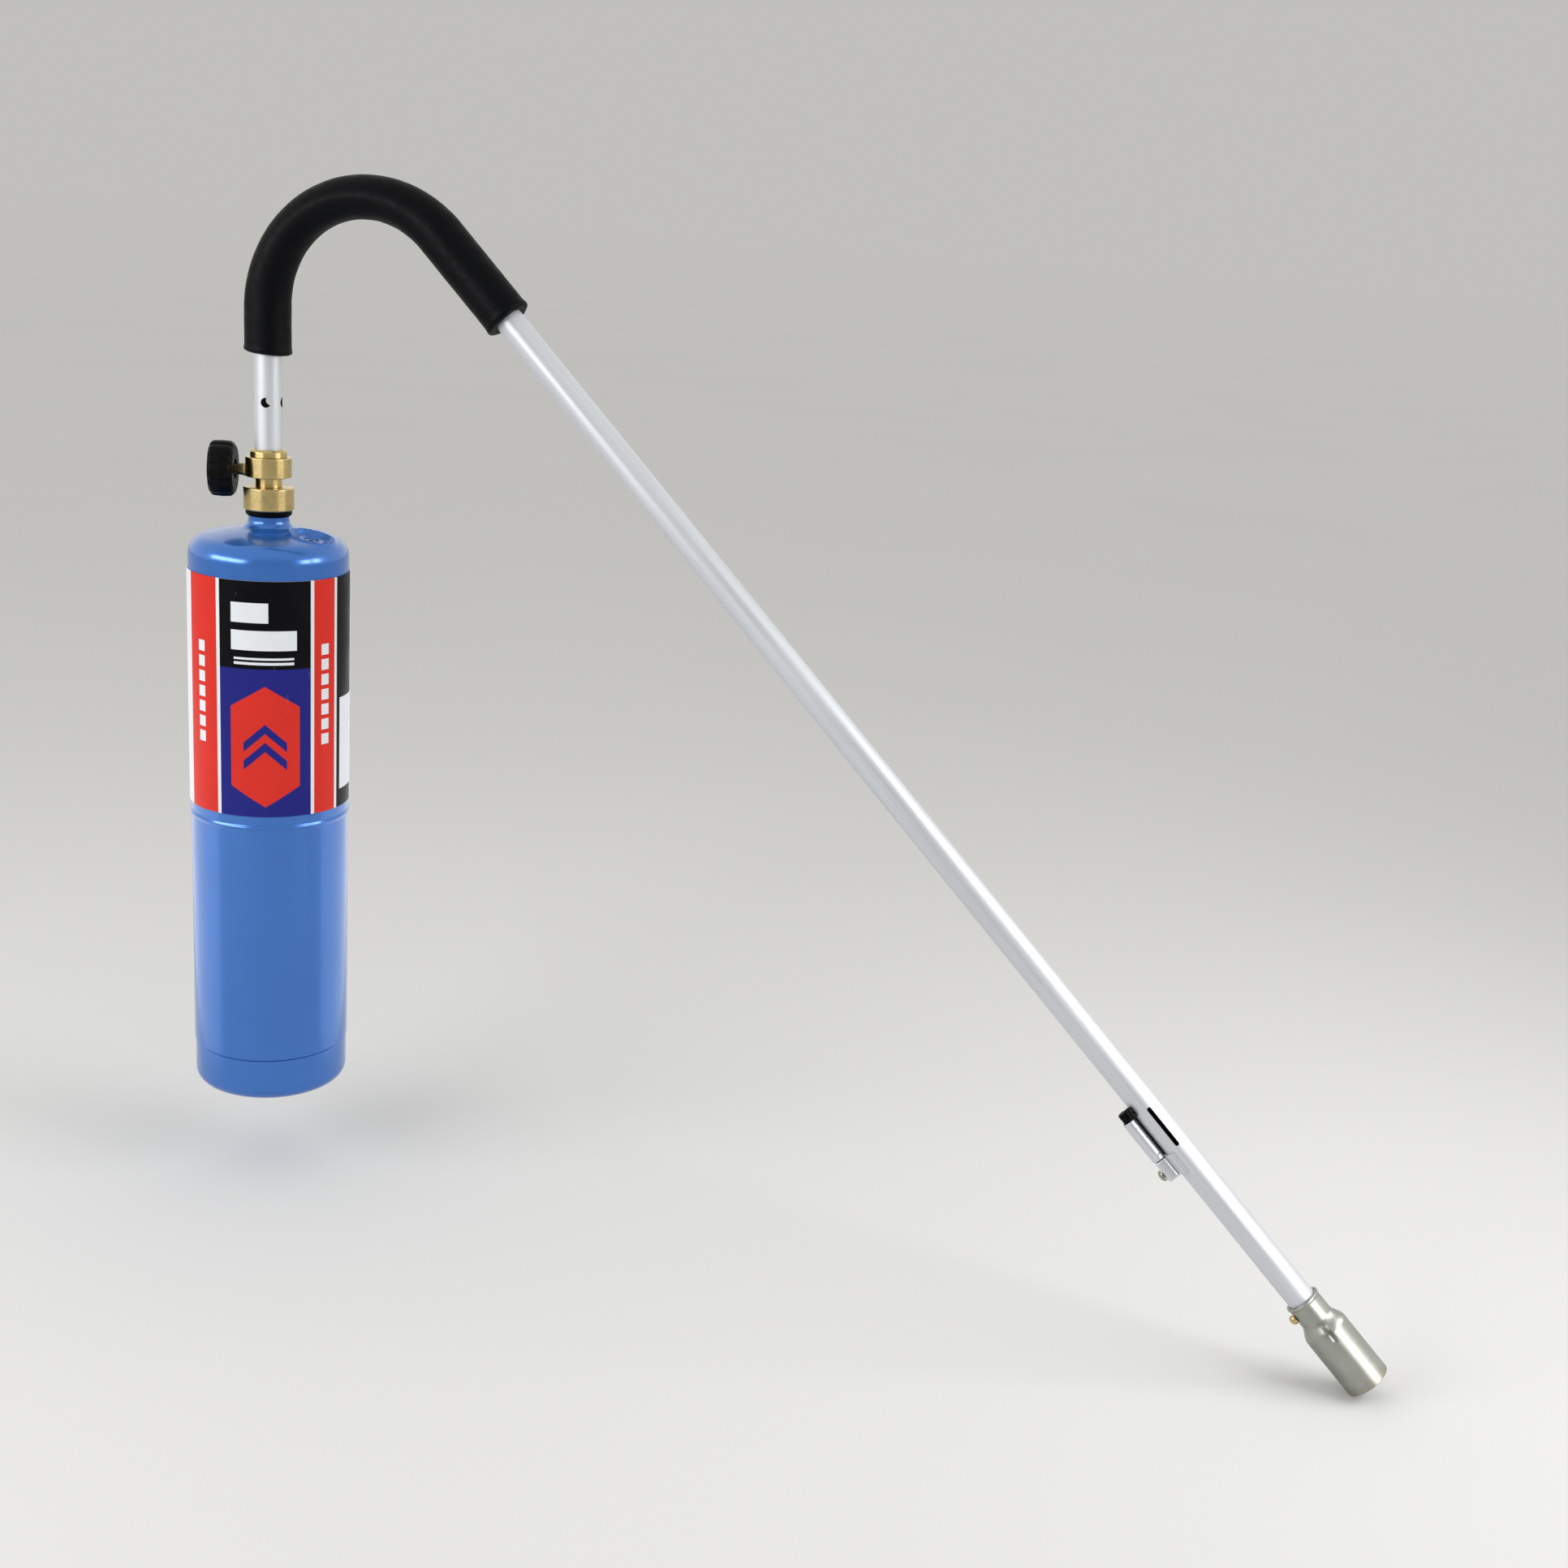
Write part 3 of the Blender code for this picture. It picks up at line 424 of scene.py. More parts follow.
def label_print(name):
    """Plain colour panels: a dark one with a hexagon, between red bands and white lines."""
    made = Finish(name, Roughness=0.32, Specular_IOR_Level=0.10)
    x, y, z = made.axes()
    angle = made.math("ARCTAN2", y, x)

    def below(value, limit):
        return made.math("LESS_THAN", value, limit)

    def between(value, low, high):
        return made.times(made.math("GREATER_THAN", value, low), below(value, high))

    def patch(left, right, low, high):
        return made.times(between(angle, left, right), between(z, low, high))

    panel_low = LABEL_HIGH - (LABEL_HIGH - LABEL_LOW) * TITLE_SHARE
    corner_left = RIGHT_RED_END + LINE_WIDTH + radians(4)
    layers = [
        (between(angle, LEFT_RED_END, PANEL_LEFT - LINE_WIDTH), LABEL_RED),
        (between(angle, PANEL_RIGHT + LINE_WIDTH, RIGHT_RED_END), LABEL_RED),
        (between(angle, RIGHT_RED_END + LINE_WIDTH, BLACK_STRIP_END), LABEL_BLACK),
        (patch(corner_left, BLACK_STRIP_END, LABEL_LOW + 0.0082, LABEL_LOW + 0.0509), LABEL_WHITE),
        (patch(PANEL_LEFT, PANEL_RIGHT, LABEL_LOW, panel_low), LABEL_BLUE),
        (patch(PANEL_LEFT, PANEL_RIGHT, panel_low, LABEL_HIGH), LABEL_BLACK)]

    # plain bars in the black block, where a label has its print: their left and right edges in half widths
    # of the panel from its middle, then their low and high edges
    bars = ((-0.72, 0.08, 0.2262, 0.2350), (-0.72, 0.68, 0.2140, 0.2228), (-0.66, 0.62, 0.2098, 0.2108),
            (-0.66, 0.62, 0.2076, 0.2088))
    middle = (PANEL_LEFT + PANEL_RIGHT) / 2
    half = (PANEL_RIGHT - PANEL_LEFT) / 2
    layers += [(patch(middle + left * half, middle + right * half, low, high), LABEL_WHITE)
               for left, right, low, high in bars]

    # a row of dashes up each red band
    pitches = made.math("DIVIDE", made.less(z, STRIPE_LOW), DASH_PITCH)
    dashes = below(made.math("FRACT", pitches), DASH_SHARE)
    stripe_high = STRIPE_LOW + STRIPE_DASHES * DASH_PITCH
    left_band = (LEFT_RED_END + PANEL_LEFT - LINE_WIDTH) / 2
    right_band = (PANEL_RIGHT + LINE_WIDTH + RIGHT_RED_END) / 2
    for band in (left_band, right_band):
        stripe = patch(band - STRIPE_HALF, band + STRIPE_HALF, STRIPE_LOW, stripe_high)
        layers.append((made.times(stripe, dashes), LABEL_WHITE))

    # upright hexagon in the blue block, with two chevrons on it
    hexagon_half, hexagon_reach, hexagon_slope = 0.0152, 0.0275, 0.62
    chevron_half, chevron_slope = 0.62 * hexagon_half, 0.9
    hexagon_z = (LABEL_LOW + panel_low) / 2 - 0.0015
    across = made.math("ABSOLUTE", made.times(made.less(angle, middle), LABEL_R))
    upright = made.math("ABSOLUTE", made.less(z, hexagon_z))
    slanted = made.add(upright, made.times(across, hexagon_slope))
    layers.append((made.times(below(across, hexagon_half), below(slanted, hexagon_reach)), LABEL_RED))
    rise = made.less(z, made.less(hexagon_z, made.times(across, chevron_slope)))
    chevrons = made.add(between(rise, -0.0020, 0.0022), between(rise, 0.0062, 0.0104))
    layers.append((made.times(chevrons, below(across, chevron_half)), LABEL_BLUE))

    colour = LABEL_WHITE
    for mask, ink in layers:
        colour = made.mix(mask, colour, ink)
    fade = made.clouds(0.94, 1.0, 35, detail=4)
    grey = made.node("ShaderNodeCombineXYZ", {0: fade, 1: fade, 2: fade}).outputs[0]
    colour = made.mix(1.0, colour, grey, "MULTIPLY")
    scuffs = made.spread(made.grain(500, (1, 1, 0.3), 5), 0.68, 0.76, 0, 0.12)
    made.set("Base Color", made.mix(scuffs, colour, srgb(160, 160, 165)))
    made.set("Roughness", made.clouds(0.26, 0.38, 120, detail=4))
    made.bump(made.grain(1600, detail=2), 0.00001, 0.3)
    return made.material


# ---- mesh helpers ----
def spaced(first, last, steps):
    """Evenly spaced values from the first to the last."""
    return [first + (last - first) * i / steps for i in range(steps + 1)]


def arc(centre_r, centre_z, radius, start, end, steps):
    """Points of a circular stretch of a profile, with angles from +X."""
    return [(centre_r + radius * cos(a), centre_z + radius * sin(a)) for a in spaced(start, end, steps)]


def rounded(corners, steps=4):
    """Closed outline whose corners, given as (r, z, radius), are rounded where they have a radius."""
    points = []
    for i, corner in enumerate(corners):
        here = Vector(corner[:2])
        radius = corner[2] if len(corner) > 2 else 0
        if not radius:
            points.append(tuple(here))
            continue
        before = (Vector(corners[i - 1][:2]) - here).normalized()
        after = (Vector(corners[(i + 1) % len(corners)][:2]) - here).normalized()
        half = before.angle(after) / 2
        centre = here + (before + after).normalized() * radius / sin(half)
        start = here + before * radius / tan(half) - centre
        end = here + after * radius / tan(half) - centre
        sweep = start.angle_signed(end)
        for step in range(steps + 1):
            turn = -sweep * step / steps
            points.append((centre.x + start.x * cos(turn) - start.y * sin(turn),
                           centre.y + start.x * sin(turn) + start.y * cos(turn)))
    return points


def add_object(name, data, place=Matrix()):
    made = bpy.data.objects.new(name, data)
    bpy.context.scene.collection.objects.link(made)
    made.matrix_world = place
    return made


def add_shape(name, mesh, shape, place, materials):
    """Writes a bmesh into its mesh and adds an object that shows it."""
    shape.to_mesh(mesh)
    shape.free()
    for material in materials:
        mesh.materials.append(material)
    return add_object(name, mesh, place)


def add_mesh(name, verts, faces, place, materials):
    mesh = bpy.data.meshes.new(name)
    mesh.from_pydata(verts, [], faces)
    shape = bmesh.new()
    shape.from_mesh(mesh)
    bmesh.ops.recalc_face_normals(shape, faces=shape.faces)
    return add_shape(name, mesh, shape, place, materials)


def skin(rows, closed):
    """Faces between rows of vertex numbers.  A row of one vertex is a pole."""
    faces = []
    pairs = list(zip(rows, rows[1:]))
    if closed:
        pairs.append((rows[-1], rows[0]))
    for upper, lower in pairs:
        count = max(len(upper), len(lower))
        for i in range(count):
            j = (i + 1) % count
            face = list(dict.fromkeys((upper[i % len(upper)], lower[i % len(lower)], lower[j % len(lower)],
                                       upper[j % len(upper)])))
            if len(face) > 2:
                faces.append(face)
    return faces


def lathe(name, profile, place, materials, steps=96, closed=False, shape=None):
    """Turned piece.  shape may move each point, given its radius, angle and height."""
    verts, rows = [], []
    for r, z in profile:
        count = 1 if r < 1e-6 else steps
        rows.append(list(range(len(verts), len(verts) + count)))
        for i in range(count):
            angle = 2 * pi * i / steps
            reach, level = shape(r, angle, z) if shape else (r, z)
            verts.append((reach * cos(angle), reach * sin(angle), level))
    return add_mesh(name, verts, skin(rows, closed), place, materials)


SLIVER = 1e-6             # edges shorter than this are dissolved after a Boolean


def cut(piece, *cutters, operation="DIFFERENCE"):
    """Applies Booleans, cuts unless another operation is named, and removes the cutters."""
    for cutter in cutters:
        step = piece.modifiers.new(cutter.name, "BOOLEAN")
        step.operation = operation
        step.solver = "EXACT"
        step.object = cutter
    bpy.context.view_layer.update()
    done = bpy.data.meshes.new_from_object(piece.evaluated_get(bpy.context.evaluated_depsgraph_get()))
    shape = bmesh.new()
    shape.from_mesh(done)
    bmesh.ops.remove_doubles(shape, verts=shape.verts, dist=SLIVER)
    bmesh.ops.dissolve_degenerate(shape, dist=SLIVER, edges=shape.edges)
    shape.to_mesh(done)
    shape.free()
    piece.modifiers.clear()
    piece.data = done
    for cutter in cutters:
        bpy.data.objects.remove(cutter, do_unlink=True)


def drum(name, radius, low, high, place, steps=48):
    """Round cutter along Z."""
    return lathe(name, [(0, high), (radius, high), (radius, low), (0, low)], place, [], steps)


def brick(name, size, place, radius=0.0, materials=()):
    """Box, with rounded edges if it has a radius."""
    mesh = bpy.data.meshes.new(name)
    shape = bmesh.new()
    bmesh.ops.create_cube(shape, size=1, matrix=Matrix.Diagonal((*size, 1)))
    if radius:
        bmesh.ops.bevel(shape, geom=shape.edges[:], offset=radius, segments=5, profile=0.5, affect="EDGES")
    return add_shape(name, mesh, shape, place, materials)


def fit(piece, body, nodes, angle=32):
    """Finishes a piece: smooth shading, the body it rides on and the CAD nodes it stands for."""
    piece.data.shade_smooth()
    piece.data.set_sharp_from_angle(angle=radians(angle))
    weigh = piece.modifiers.new("even_normals", "WEIGHTED_NORMAL")
    weigh.keep_sharp = True
    weigh.weight = 60
    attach(piece, body)
    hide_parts(*nodes)


def turned_ring(name, corners, place, material, steps, ride, fine=4):
    """Closed turned piece with rounded corners.  ride gives its body, its CAD node and its slot; the slot is
    not used.
    """
    body, node, slot = ride
    piece = lathe(name, rounded(corners, fine), place, [material], steps, closed=True)
    fit(piece, body, [node])


# ---- gas cylinder ----
def crown_height(radius, depth=0.0):
    return CROWN_Z + sqrt((CROWN_R - depth) ** 2 - radius ** 2)


def dome_side(depth, start):
    """Crown and knuckle of the dome, from a radius outwards and down."""
    crown_end = SHELL_R - KNUCKLE_R + (KNUCKLE_R - depth) * cos(KNUCKLE_SWEEP)
    crown = [(r, crown_height(r, depth)) for r in spaced(start, crown_end, 34)[:-1]]
    return crown + arc(SHELL_R - KNUCKLE_R, KNUCKLE_Z, KNUCKLE_R - depth, KNUCKLE_SWEEP, 0, 20)


def relief_frame():
    lean = asin(RELIEF_REACH / CROWN_R)
    place = Matrix.Translation((RELIEF_REACH, 0, crown_height(RELIEF_REACH)))
    return TANK @ place @ Matrix.Rotation(lean, 4, "Y")


def press_dish(piece):
    """Presses a shallow round dish with a raised rim into the dome, round the relief valve."""
    dish_r, rim_r, rim, rim_half, skin_deep = 0.0076, 0.0100, 0.0009, 0.0020, 0.0060
    to_dish = (relief_frame().inverted() @ TANK).to_4x4()
    normal = (TANK.inverted() @ relief_frame()).to_3x3() @ Vector((0, 0, 1))
    for vertex in piece.data.vertices:
        near = to_dish @ vertex.co
        reach = hypot(near.x, near.y)
        if reach > rim_r + rim_half or near.z < -skin_deep:
            continue
        share = min(1, max(0, (rim_r - reach) / (rim_r - dish_r)))
        fall = share * share * (3 - 2 * share)
        swell = max(0, 1 - abs(reach - rim_r) / rim_half)
        vertex.co += normal * (rim * swell * swell - DISH_DEPTH * fall)


def cylinder_skin(blue):
    """Drawn shell: filleted neck, dome, knuckle, straight side with a bead, open at the seam."""
    fillet, fillet_sweep, fillet_squash = 0.0044, pi / 2 * 0.84, 0.95
    neck_foot = crown_height(NECK_R + fillet)
    neck = [(NECK_R, NECK_TOP)]
    neck += [(NECK_R + fillet * (1 - cos(a)), neck_foot + fillet * (1 - sin(a)) * fillet_squash)
             for a in spaced(0, fillet_sweep, 10)]
    bead_half, bead_rise = 0.0016, LABEL_R - SHELL_R
    bead = [(SHELL_R + bead_rise * sin(pi * share) ** 2, BEAD_Z + bead_half * (1 - 2 * share))
            for share in spaced(0, 1, 12)]
    edge = 0.0004
    low = [(SHELL_R, SEAM_Z + 2 * edge), (SHELL_R - edge * 0.3, SEAM_Z + edge * 0.3),
           (SHELL_R - edge, SEAM_Z)]
    outer = neck + dome_side(0, NECK_R + fillet) + bead + low
    neck_bore = 0.0065
    inner = [(neck_bore, NECK_TOP)] + dome_side(SHELL_WALL, neck_bore) + [(SHELL_R - SHELL_WALL, SEAM_Z)]
    piece = lathe("cylinder_skin", outer + inner[::-1], TANK, [blue], steps=240, closed=True)
    press_dish(piece)
    cut(piece, drum("relief_port", RELIEF_R + GAP, -0.01, 0.01, relief_frame()))
    fit(piece, "fuel_cylinder", ["cylinder_shell"])


def bottom_cap(blue):
    """Bottom cap with a rounded corner, a flat foot ring and a dished middle."""
    wall, corner = 0.0010, 0.0060
    spigot = SHELL_R - SHELL_WALL - GAP
    spigot_top = SEAM_Z + 0.0055
    seat = SEAM_Z - GAP
    depth = 0.0066
    dish = [(FOOT_IN * share, depth * (1 + cos(pi * share)) / 2) for share in spaced(0, 1, 16)]
    inside = [(r, z + wall) for r, z in dish]
    inside += arc(BASE_R - corner, corner, corner - wall, -pi / 2, 0, 12)
    inside += [(BASE_R - wall, seat - 0.0010), (spigot - wall, seat + 0.0010), (spigot - wall, spigot_top)]
    outside = [(spigot, spigot_top), (spigot, seat), (BASE_R - 0.0003, seat), (BASE_R, seat - 0.0003)]
    outside += arc(BASE_R - corner, corner, corner, 0, -pi / 2, 16) + dish[::-1]
    piece = lathe("bottom_cap", inside + outside, TANK, [blue], steps=160)
    fit(piece, "fuel_cylinder", ["cylinder_base"])


def printed_label(print_finish):
    edge = 0.00015
    bore = SHELL_R + GAP / 2
    corners = [(LABEL_R, LABEL_HIGH, edge), (LABEL_R, LABEL_LOW, edge), (bore, LABEL_LOW),
               (bore, LABEL_HIGH)]
    turned_ring("printed_label", corners, TANK, print_finish, 256,
                ("fuel_cylinder", "label_sleeve", "label_print"))


def relief_plug(blue, dark):
    """Plug at the bottom of the dish: painted skirt, and painted disc with a small dark vent."""
    floor = -DISH_DEPTH
    skirt = [(RELIEF_R, floor - 0.0030), (RELIEF_R, floor + 0.0001), (0.0056, floor + 0.0001, 0.0002),
             (0.0056, floor + 0.0006, 0.0003), (0.0040, floor + 0.0008, 0.0003),
             (0.0034, floor + 0.0001, 0.0001), (0.0030, floor + 0.0001), (0.0030, floor - 0.0030)]
    turned_ring("relief_skirt", skirt, relief_frame(), blue, 72,
                ("fuel_cylinder", "relief_valve", "cylinder_paint"))
    vent = [(0, floor - 0.0016), (0.0008, floor - 0.0016), (0.0008, floor - 0.0005),
            (0.0012, floor - 0.0001), (0.0023, floor), (0.0028, floor - 0.0003), (0.0028, floor - 0.0028),
            (0, floor - 0.0028)]
    piece = lathe("relief_disc", vent, relief_frame(), [blue, dark], steps=48)
    # painted shade: the vent's hole and its chamfer take the black rubber
    for face in piece.data.polygons:
        if hypot(face.center.x, face.center.y) < 0.0011 and face.center.z > floor - 0.0020:
            face.material_index = 1
    fit(piece, "fuel_cylinder", ["relief_valve"])


def threaded_stem(blue, brass):
    """Neck fitting: painted flange, and a brass stem with its thread cut as a real helix."""
    pitch, depth = 0.00127, 0.0006
    spigot, spigot_low, bore = 0.0062, 0.2590, 0.0032
    thread_low, thread_high = FLANGE_TOP + 0.0009, STEM_TOP - 0.0008
    thread = [(STEM_R, z) for z in spaced(thread_high, thread_low, 84)]
    corners = [(STEM_R - 0.0008, STEM_TOP)] + thread + [
        (STEM_R - 0.0006, FLANGE_TOP + 0.0006), (STEM_R - 0.0006, FLANGE_TOP), (NECK_R - 0.0002, FLANGE_TOP),
        (NECK_R, FLANGE_TOP - 0.0002), (NECK_R, NECK_TOP), (spigot, NECK_TOP), (spigot, spigot_low),
        (bore, spigot_low), (bore, STEM_TOP)]

    def groove(r, angle, z):
        if r != STEM_R or not thread_low <= z <= thread_high:
            return r, z
        turn = (z / pitch - angle / (2 * pi)) % 1
        run_out = min(1, (thread_high - z) / pitch, (z - thread_low) / pitch)
        return r - depth * run_out * (1 - abs(2 * turn - 1)), z

    piece = lathe("threaded_stem", corners, TANK, [brass, blue], closed=True, shape=groove)
    for face in piece.data.polygons:
        if face.center.z < FLANGE_TOP + 0.00005 and hypot(face.center.x, face.center.y) > spigot:
            face.material_index = 1
    fit(piece, "fuel_cylinder", ["neck_boss"])


def seal_ring(rubber):
    bore = STEM_R + GAP
    top = COLLAR_LOW - GAP / 3
    foot = FLANGE_TOP + GAP / 3
    corners = [(0.0101, top, 0.0003), (0.0100, foot + 0.0006, 0.0008), (0.0093, foot, 0.0003),
               (bore, foot), (bore, top)]
    turned_ring("seal_ring", corners, TANK, rubber, 96, ("neck_ring", "neck_seal", "seal_rubber"), 6)


# ---- valve ----
def brass_collar(brass):
    """Inlet collar with rounded rims, bored for the cylinder's stem and the valve's spigot."""
    bore, ceiling, port = STEM_R + 0.0004, 0.2793, 0.0046
    corners = [(COLLAR_R, COLLAR_HIGH, 0.0005), (COLLAR_R, COLLAR_LOW, 0.0009), (bore, COLLAR_LOW, 0.0003),
               (bore, ceiling), (port, ceiling), (port, COLLAR_HIGH)]
    turned_ring("brass_collar", corners, TANK, brass, 128, ("torch", "inlet_collar", "brass"), 6)


def brass_valve(brass):
    """Valve body: spigot, filleted waist and block, bored for the gas, the tube and the gland."""
    spigot, gas_bore, jet_bore, tube_bore = 0.0043, 0.0016, 0.0028, TUBE_R + GAP
    spigot_low, jet_floor = 0.2796, 0.2902
    waist_low = COLLAR_HIGH + GAP / 4
    corners = [(BLOCK_R, BLOCK_HIGH, 0.0005), (BLOCK_R, BLOCK_LOW, 0.0005), (WAIST_R, BLOCK_LOW, 0.0008),
               (WAIST_R, waist_low, 0.0001), (spigot, waist_low), (spigot, spigot_low),
               (gas_bore, spigot_low), (gas_bore, jet_floor), (jet_bore, jet_floor),
               (jet_bore, TUBE_LOW - GAP), (tube_bore, TUBE_LOW - GAP), (tube_bore, BLOCK_HIGH)]
    piece = lathe("brass_valve", rounded(corners, 6), TANK, [brass], steps=128, closed=True)
    cut(piece, drum("needle_bore", 0.0014, 0, 0.0060, SPINDLE),
        drum("gland_bore", GLAND_BORE, 0.0042, 0.0120, SPINDLE))
    fit(piece, "torch", ["valve_body"])


def ferrule_cone(brass):
    foot = BLOCK_HIGH + GAP / 4
    bore = TUBE_R + GAP / 3
    corners = [(0.0070, FERRULE_HIGH, 0.0002), (0.0079, FERRULE_HIGH - 0.0011, 0.0005),
               (0.0080, foot, 0.0001), (bore, foot), (bore, FERRULE_HIGH)]
    turned_ring("ferrule_cone", corners, TANK, brass, 96, ("torch", "tube_ferrule", "brass"), 6)


def gland_cone(brass):
    """Packing gland: a cone with a small shoulder and a turned groove."""
    sleeve, seal_bore, rod_bore, seal_end = GLAND_BORE - GAP, 0.0015, 0.0013, 0.0092
    corners = [(0.0018, GLAND_OUT, 0.0002), (0.0020, 0.0143), (0.00185, 0.0142), (0.0021, 0.0140),
               (0.0030, 0.0103, 0.0002), (0.0030, 0.0099), (sleeve, 0.0099), (sleeve, 0.0064),
               (seal_bore, 0.0064), (seal_bore, seal_end), (rod_bore, seal_end), (rod_bore, GLAND_OUT)]
    turned_ring("gland_cone", corners, SPINDLE, brass, 64, ("torch", "packing_gland", "brass"))


def fluted_knob(plastic):
    """Round knob with soft flutes that die out at the rims, a crowned face and a recess round the gland."""
    flutes, depth = 8, 0.0007
    middle = (KNOB_IN + KNOB_OUT) / 2
    half = (KNOB_OUT - KNOB_IN) / 2
    soft, bore, spacing = 0.0005, 0.0013, 0.0006
    side = rounded([(0, KNOB_OUT), (0.0085, KNOB_OUT - 0.0002, soft), (0.0111, KNOB_OUT - 0.0006, soft),
                    (0.0120, KNOB_OUT - 0.0018, soft), (KNOB_R, middle, 0.002),
                    (0.0120, KNOB_IN + 0.0018, soft), (0.0111, KNOB_IN + 0.0006, soft),
                    (0.0100, KNOB_IN, 0.0003), (0.0044, KNOB_IN, 0.0002), (0.0042, KNOB_RECESS, 0.0003),
                    (bore, KNOB_RECESS), (bore, SHAFT_END + 0.0005), (0, SHAFT_END + 0.0005)])
    profile = []
    for near, far in zip(side, side[1:]):
        steps = max(1, round(hypot(far[0] - near[0], far[1] - near[1]) / spacing))
        profile += list(zip(spaced(near[0], far[0], steps), spaced(near[1], far[1], steps)))[:-1]
    profile.append(side[-1])

    def flute(r, angle, z):
        if r < 0.0100:
            return r, z
        level = min(1, abs(z - middle) / half)
        wave = max(0, cos(flutes * angle + pi)) ** 2.2
        return r - depth * wave * (1 - level ** 8), z

    piece = lathe("fluted_knob", profile, SPINDLE, [plastic], steps=192, shape=flute)
    fit(piece, "knob", ["control_knob"], 40)


def side_drum(name, radius, low, high, turn, along):
    """Round cutter that points outwards from the lance's axis."""
    return drum(name, radius, low, high, around_lance(turn, 0, along) @ ACROSS)


# each hole's name, radius, inner and outer end, turn round the lance and distance along it
LEAD_HOLE = ("lead_hole", 0.0014, 0.0035, 0.0099, IGNITER_TURN, LEAD_AT)
BRACKET_HOLE = ("bracket_hole", 0.0015, 0.0040, 0.0150, IGNITER_TURN, BRACKET_SCREW_AT)
BURNER_HOLE = ("burner_hole", 0.0013, 0.0040, 0.0100, BURNER_SCREW_TURN, SCREW_AT)


# ---- hooked tube and grip ----
def hook_line(low, lance_end, step):
    """Points (x, z), directions and distances along the hook's centre line, at even spacing."""
    bend = pi - LANCE_ANGLE
    riser = BEND_Z - low
    total = riser + bend * BEND_R + lance_end
    line = []
    for along in spaced(0, total, ceil(total / step)):
        turn = min(bend, max(0, (along - riser) / BEND_R))
        past = max(0, along - riser - bend * BEND_R)
        x = BEND_R * (1 - cos(turn)) + past * sin(LANCE_ANGLE)
        z = low + min(along, riser) + BEND_R * sin(turn) - past * cos(LANCE_ANGLE)
        line.append((x, z, pi / 2 - turn, along))
    return line, total


def hose(name, line, surfaces, materials, sides=96, shape=None):
    """Hollow tube along a line: surfaces are functions from the distance along it to a radius."""
    verts, rows = [], []
    for surface, order in zip(surfaces, (line, line[::-1])):
        for x, z, heading, along in order:
            rows.append(list(range(len(verts), len(verts) + sides)))
            for i in range(sides):
                angle = 2 * pi * i / sides
                reach = surface(along)
                if shape:
                    reach += shape(angle, along)
                # angle 0 is the outer side of the bend, a quarter turn is the front
                out = reach * cos(angle)
                verts.append((x - out * sin(heading), -reach * sin(angle), z + out * cos(heading)))
    return add_mesh(name, verts, skin(rows, True), TANK, materials)


def tube_reach(centre):
    """Distance of a point of the straight parts of the tube from the tube's axis."""
    if centre.x < BEND_R:
        return hypot(centre.x, centre.y) if centre.z < BEND_Z else TUBE_R
    near = LANCE.inverted() @ TANK @ centre
    return hypot(near.x, near.y) if near.z > 0 else TUBE_R


def satin_tube(riser_metal, lance_metal, dark):
    """The one tube of the torch, with its air holes, its slot and the holes for its screws and the lead."""
    end = BURNER_LIP + 0.0070
    line, total = hook_line(TUBE_LOW, end, 0.0030)
    edge = 0.0002

    def outside(along):
        return TUBE_R - edge * max(0, 1 - min(along, total - along) / edge)

    piece = hose("satin_tube", line, (outside, lambda along: TUBE_R - TUBE_WALL),
                 [riser_metal, lance_metal, dark])
    cutters = []
    for i, turn in enumerate(AIR_HOLE_TURNS):
        place = TANK @ Matrix.Translation((0, 0, AIR_HOLE_Z)) @ Matrix.Rotation(turn, 4, "Z") @ ACROSS
        cutters.append(drum(f"air_hole_{i + 1}", AIR_HOLE_R, -0.01, 0.01, place))
    middle = SLOT_LOW - IGNITER_LENGTH / 2
    half = (IGNITER_LENGTH - SLOT_WIDTH) / 2
    cutters.append(brick("slot", (0.0040, SLOT_WIDTH, 2 * half), around_lance(SLOT_TURN, TUBE_R, middle)))
    for name, shift in (("slot_top", -half), ("slot_foot", half)):
        place = around_lance(SLOT_TURN, TUBE_R, middle + shift) @ ACROSS
        cutters.append(drum(name, SLOT_WIDTH / 2, -0.0020, 0.0020, place))
    cutters += [side_drum(*hole) for hole in (BRACKET_HOLE, LEAD_HOLE, BURNER_HOLE)]
    cut(piece, *cutters)
    for face in piece.data.polygons:
        face.material_index = 1 if face.center.x > BEND_R else 0
        # faces inside the straight parts of the tube, bore and hole walls, take the dark finish: painted
        # shade inside the tube
        if tube_reach(face.center) < TUBE_R - 0.0003:
            face.material_index = 2
    fit(piece, "torch", ["main_tube"])


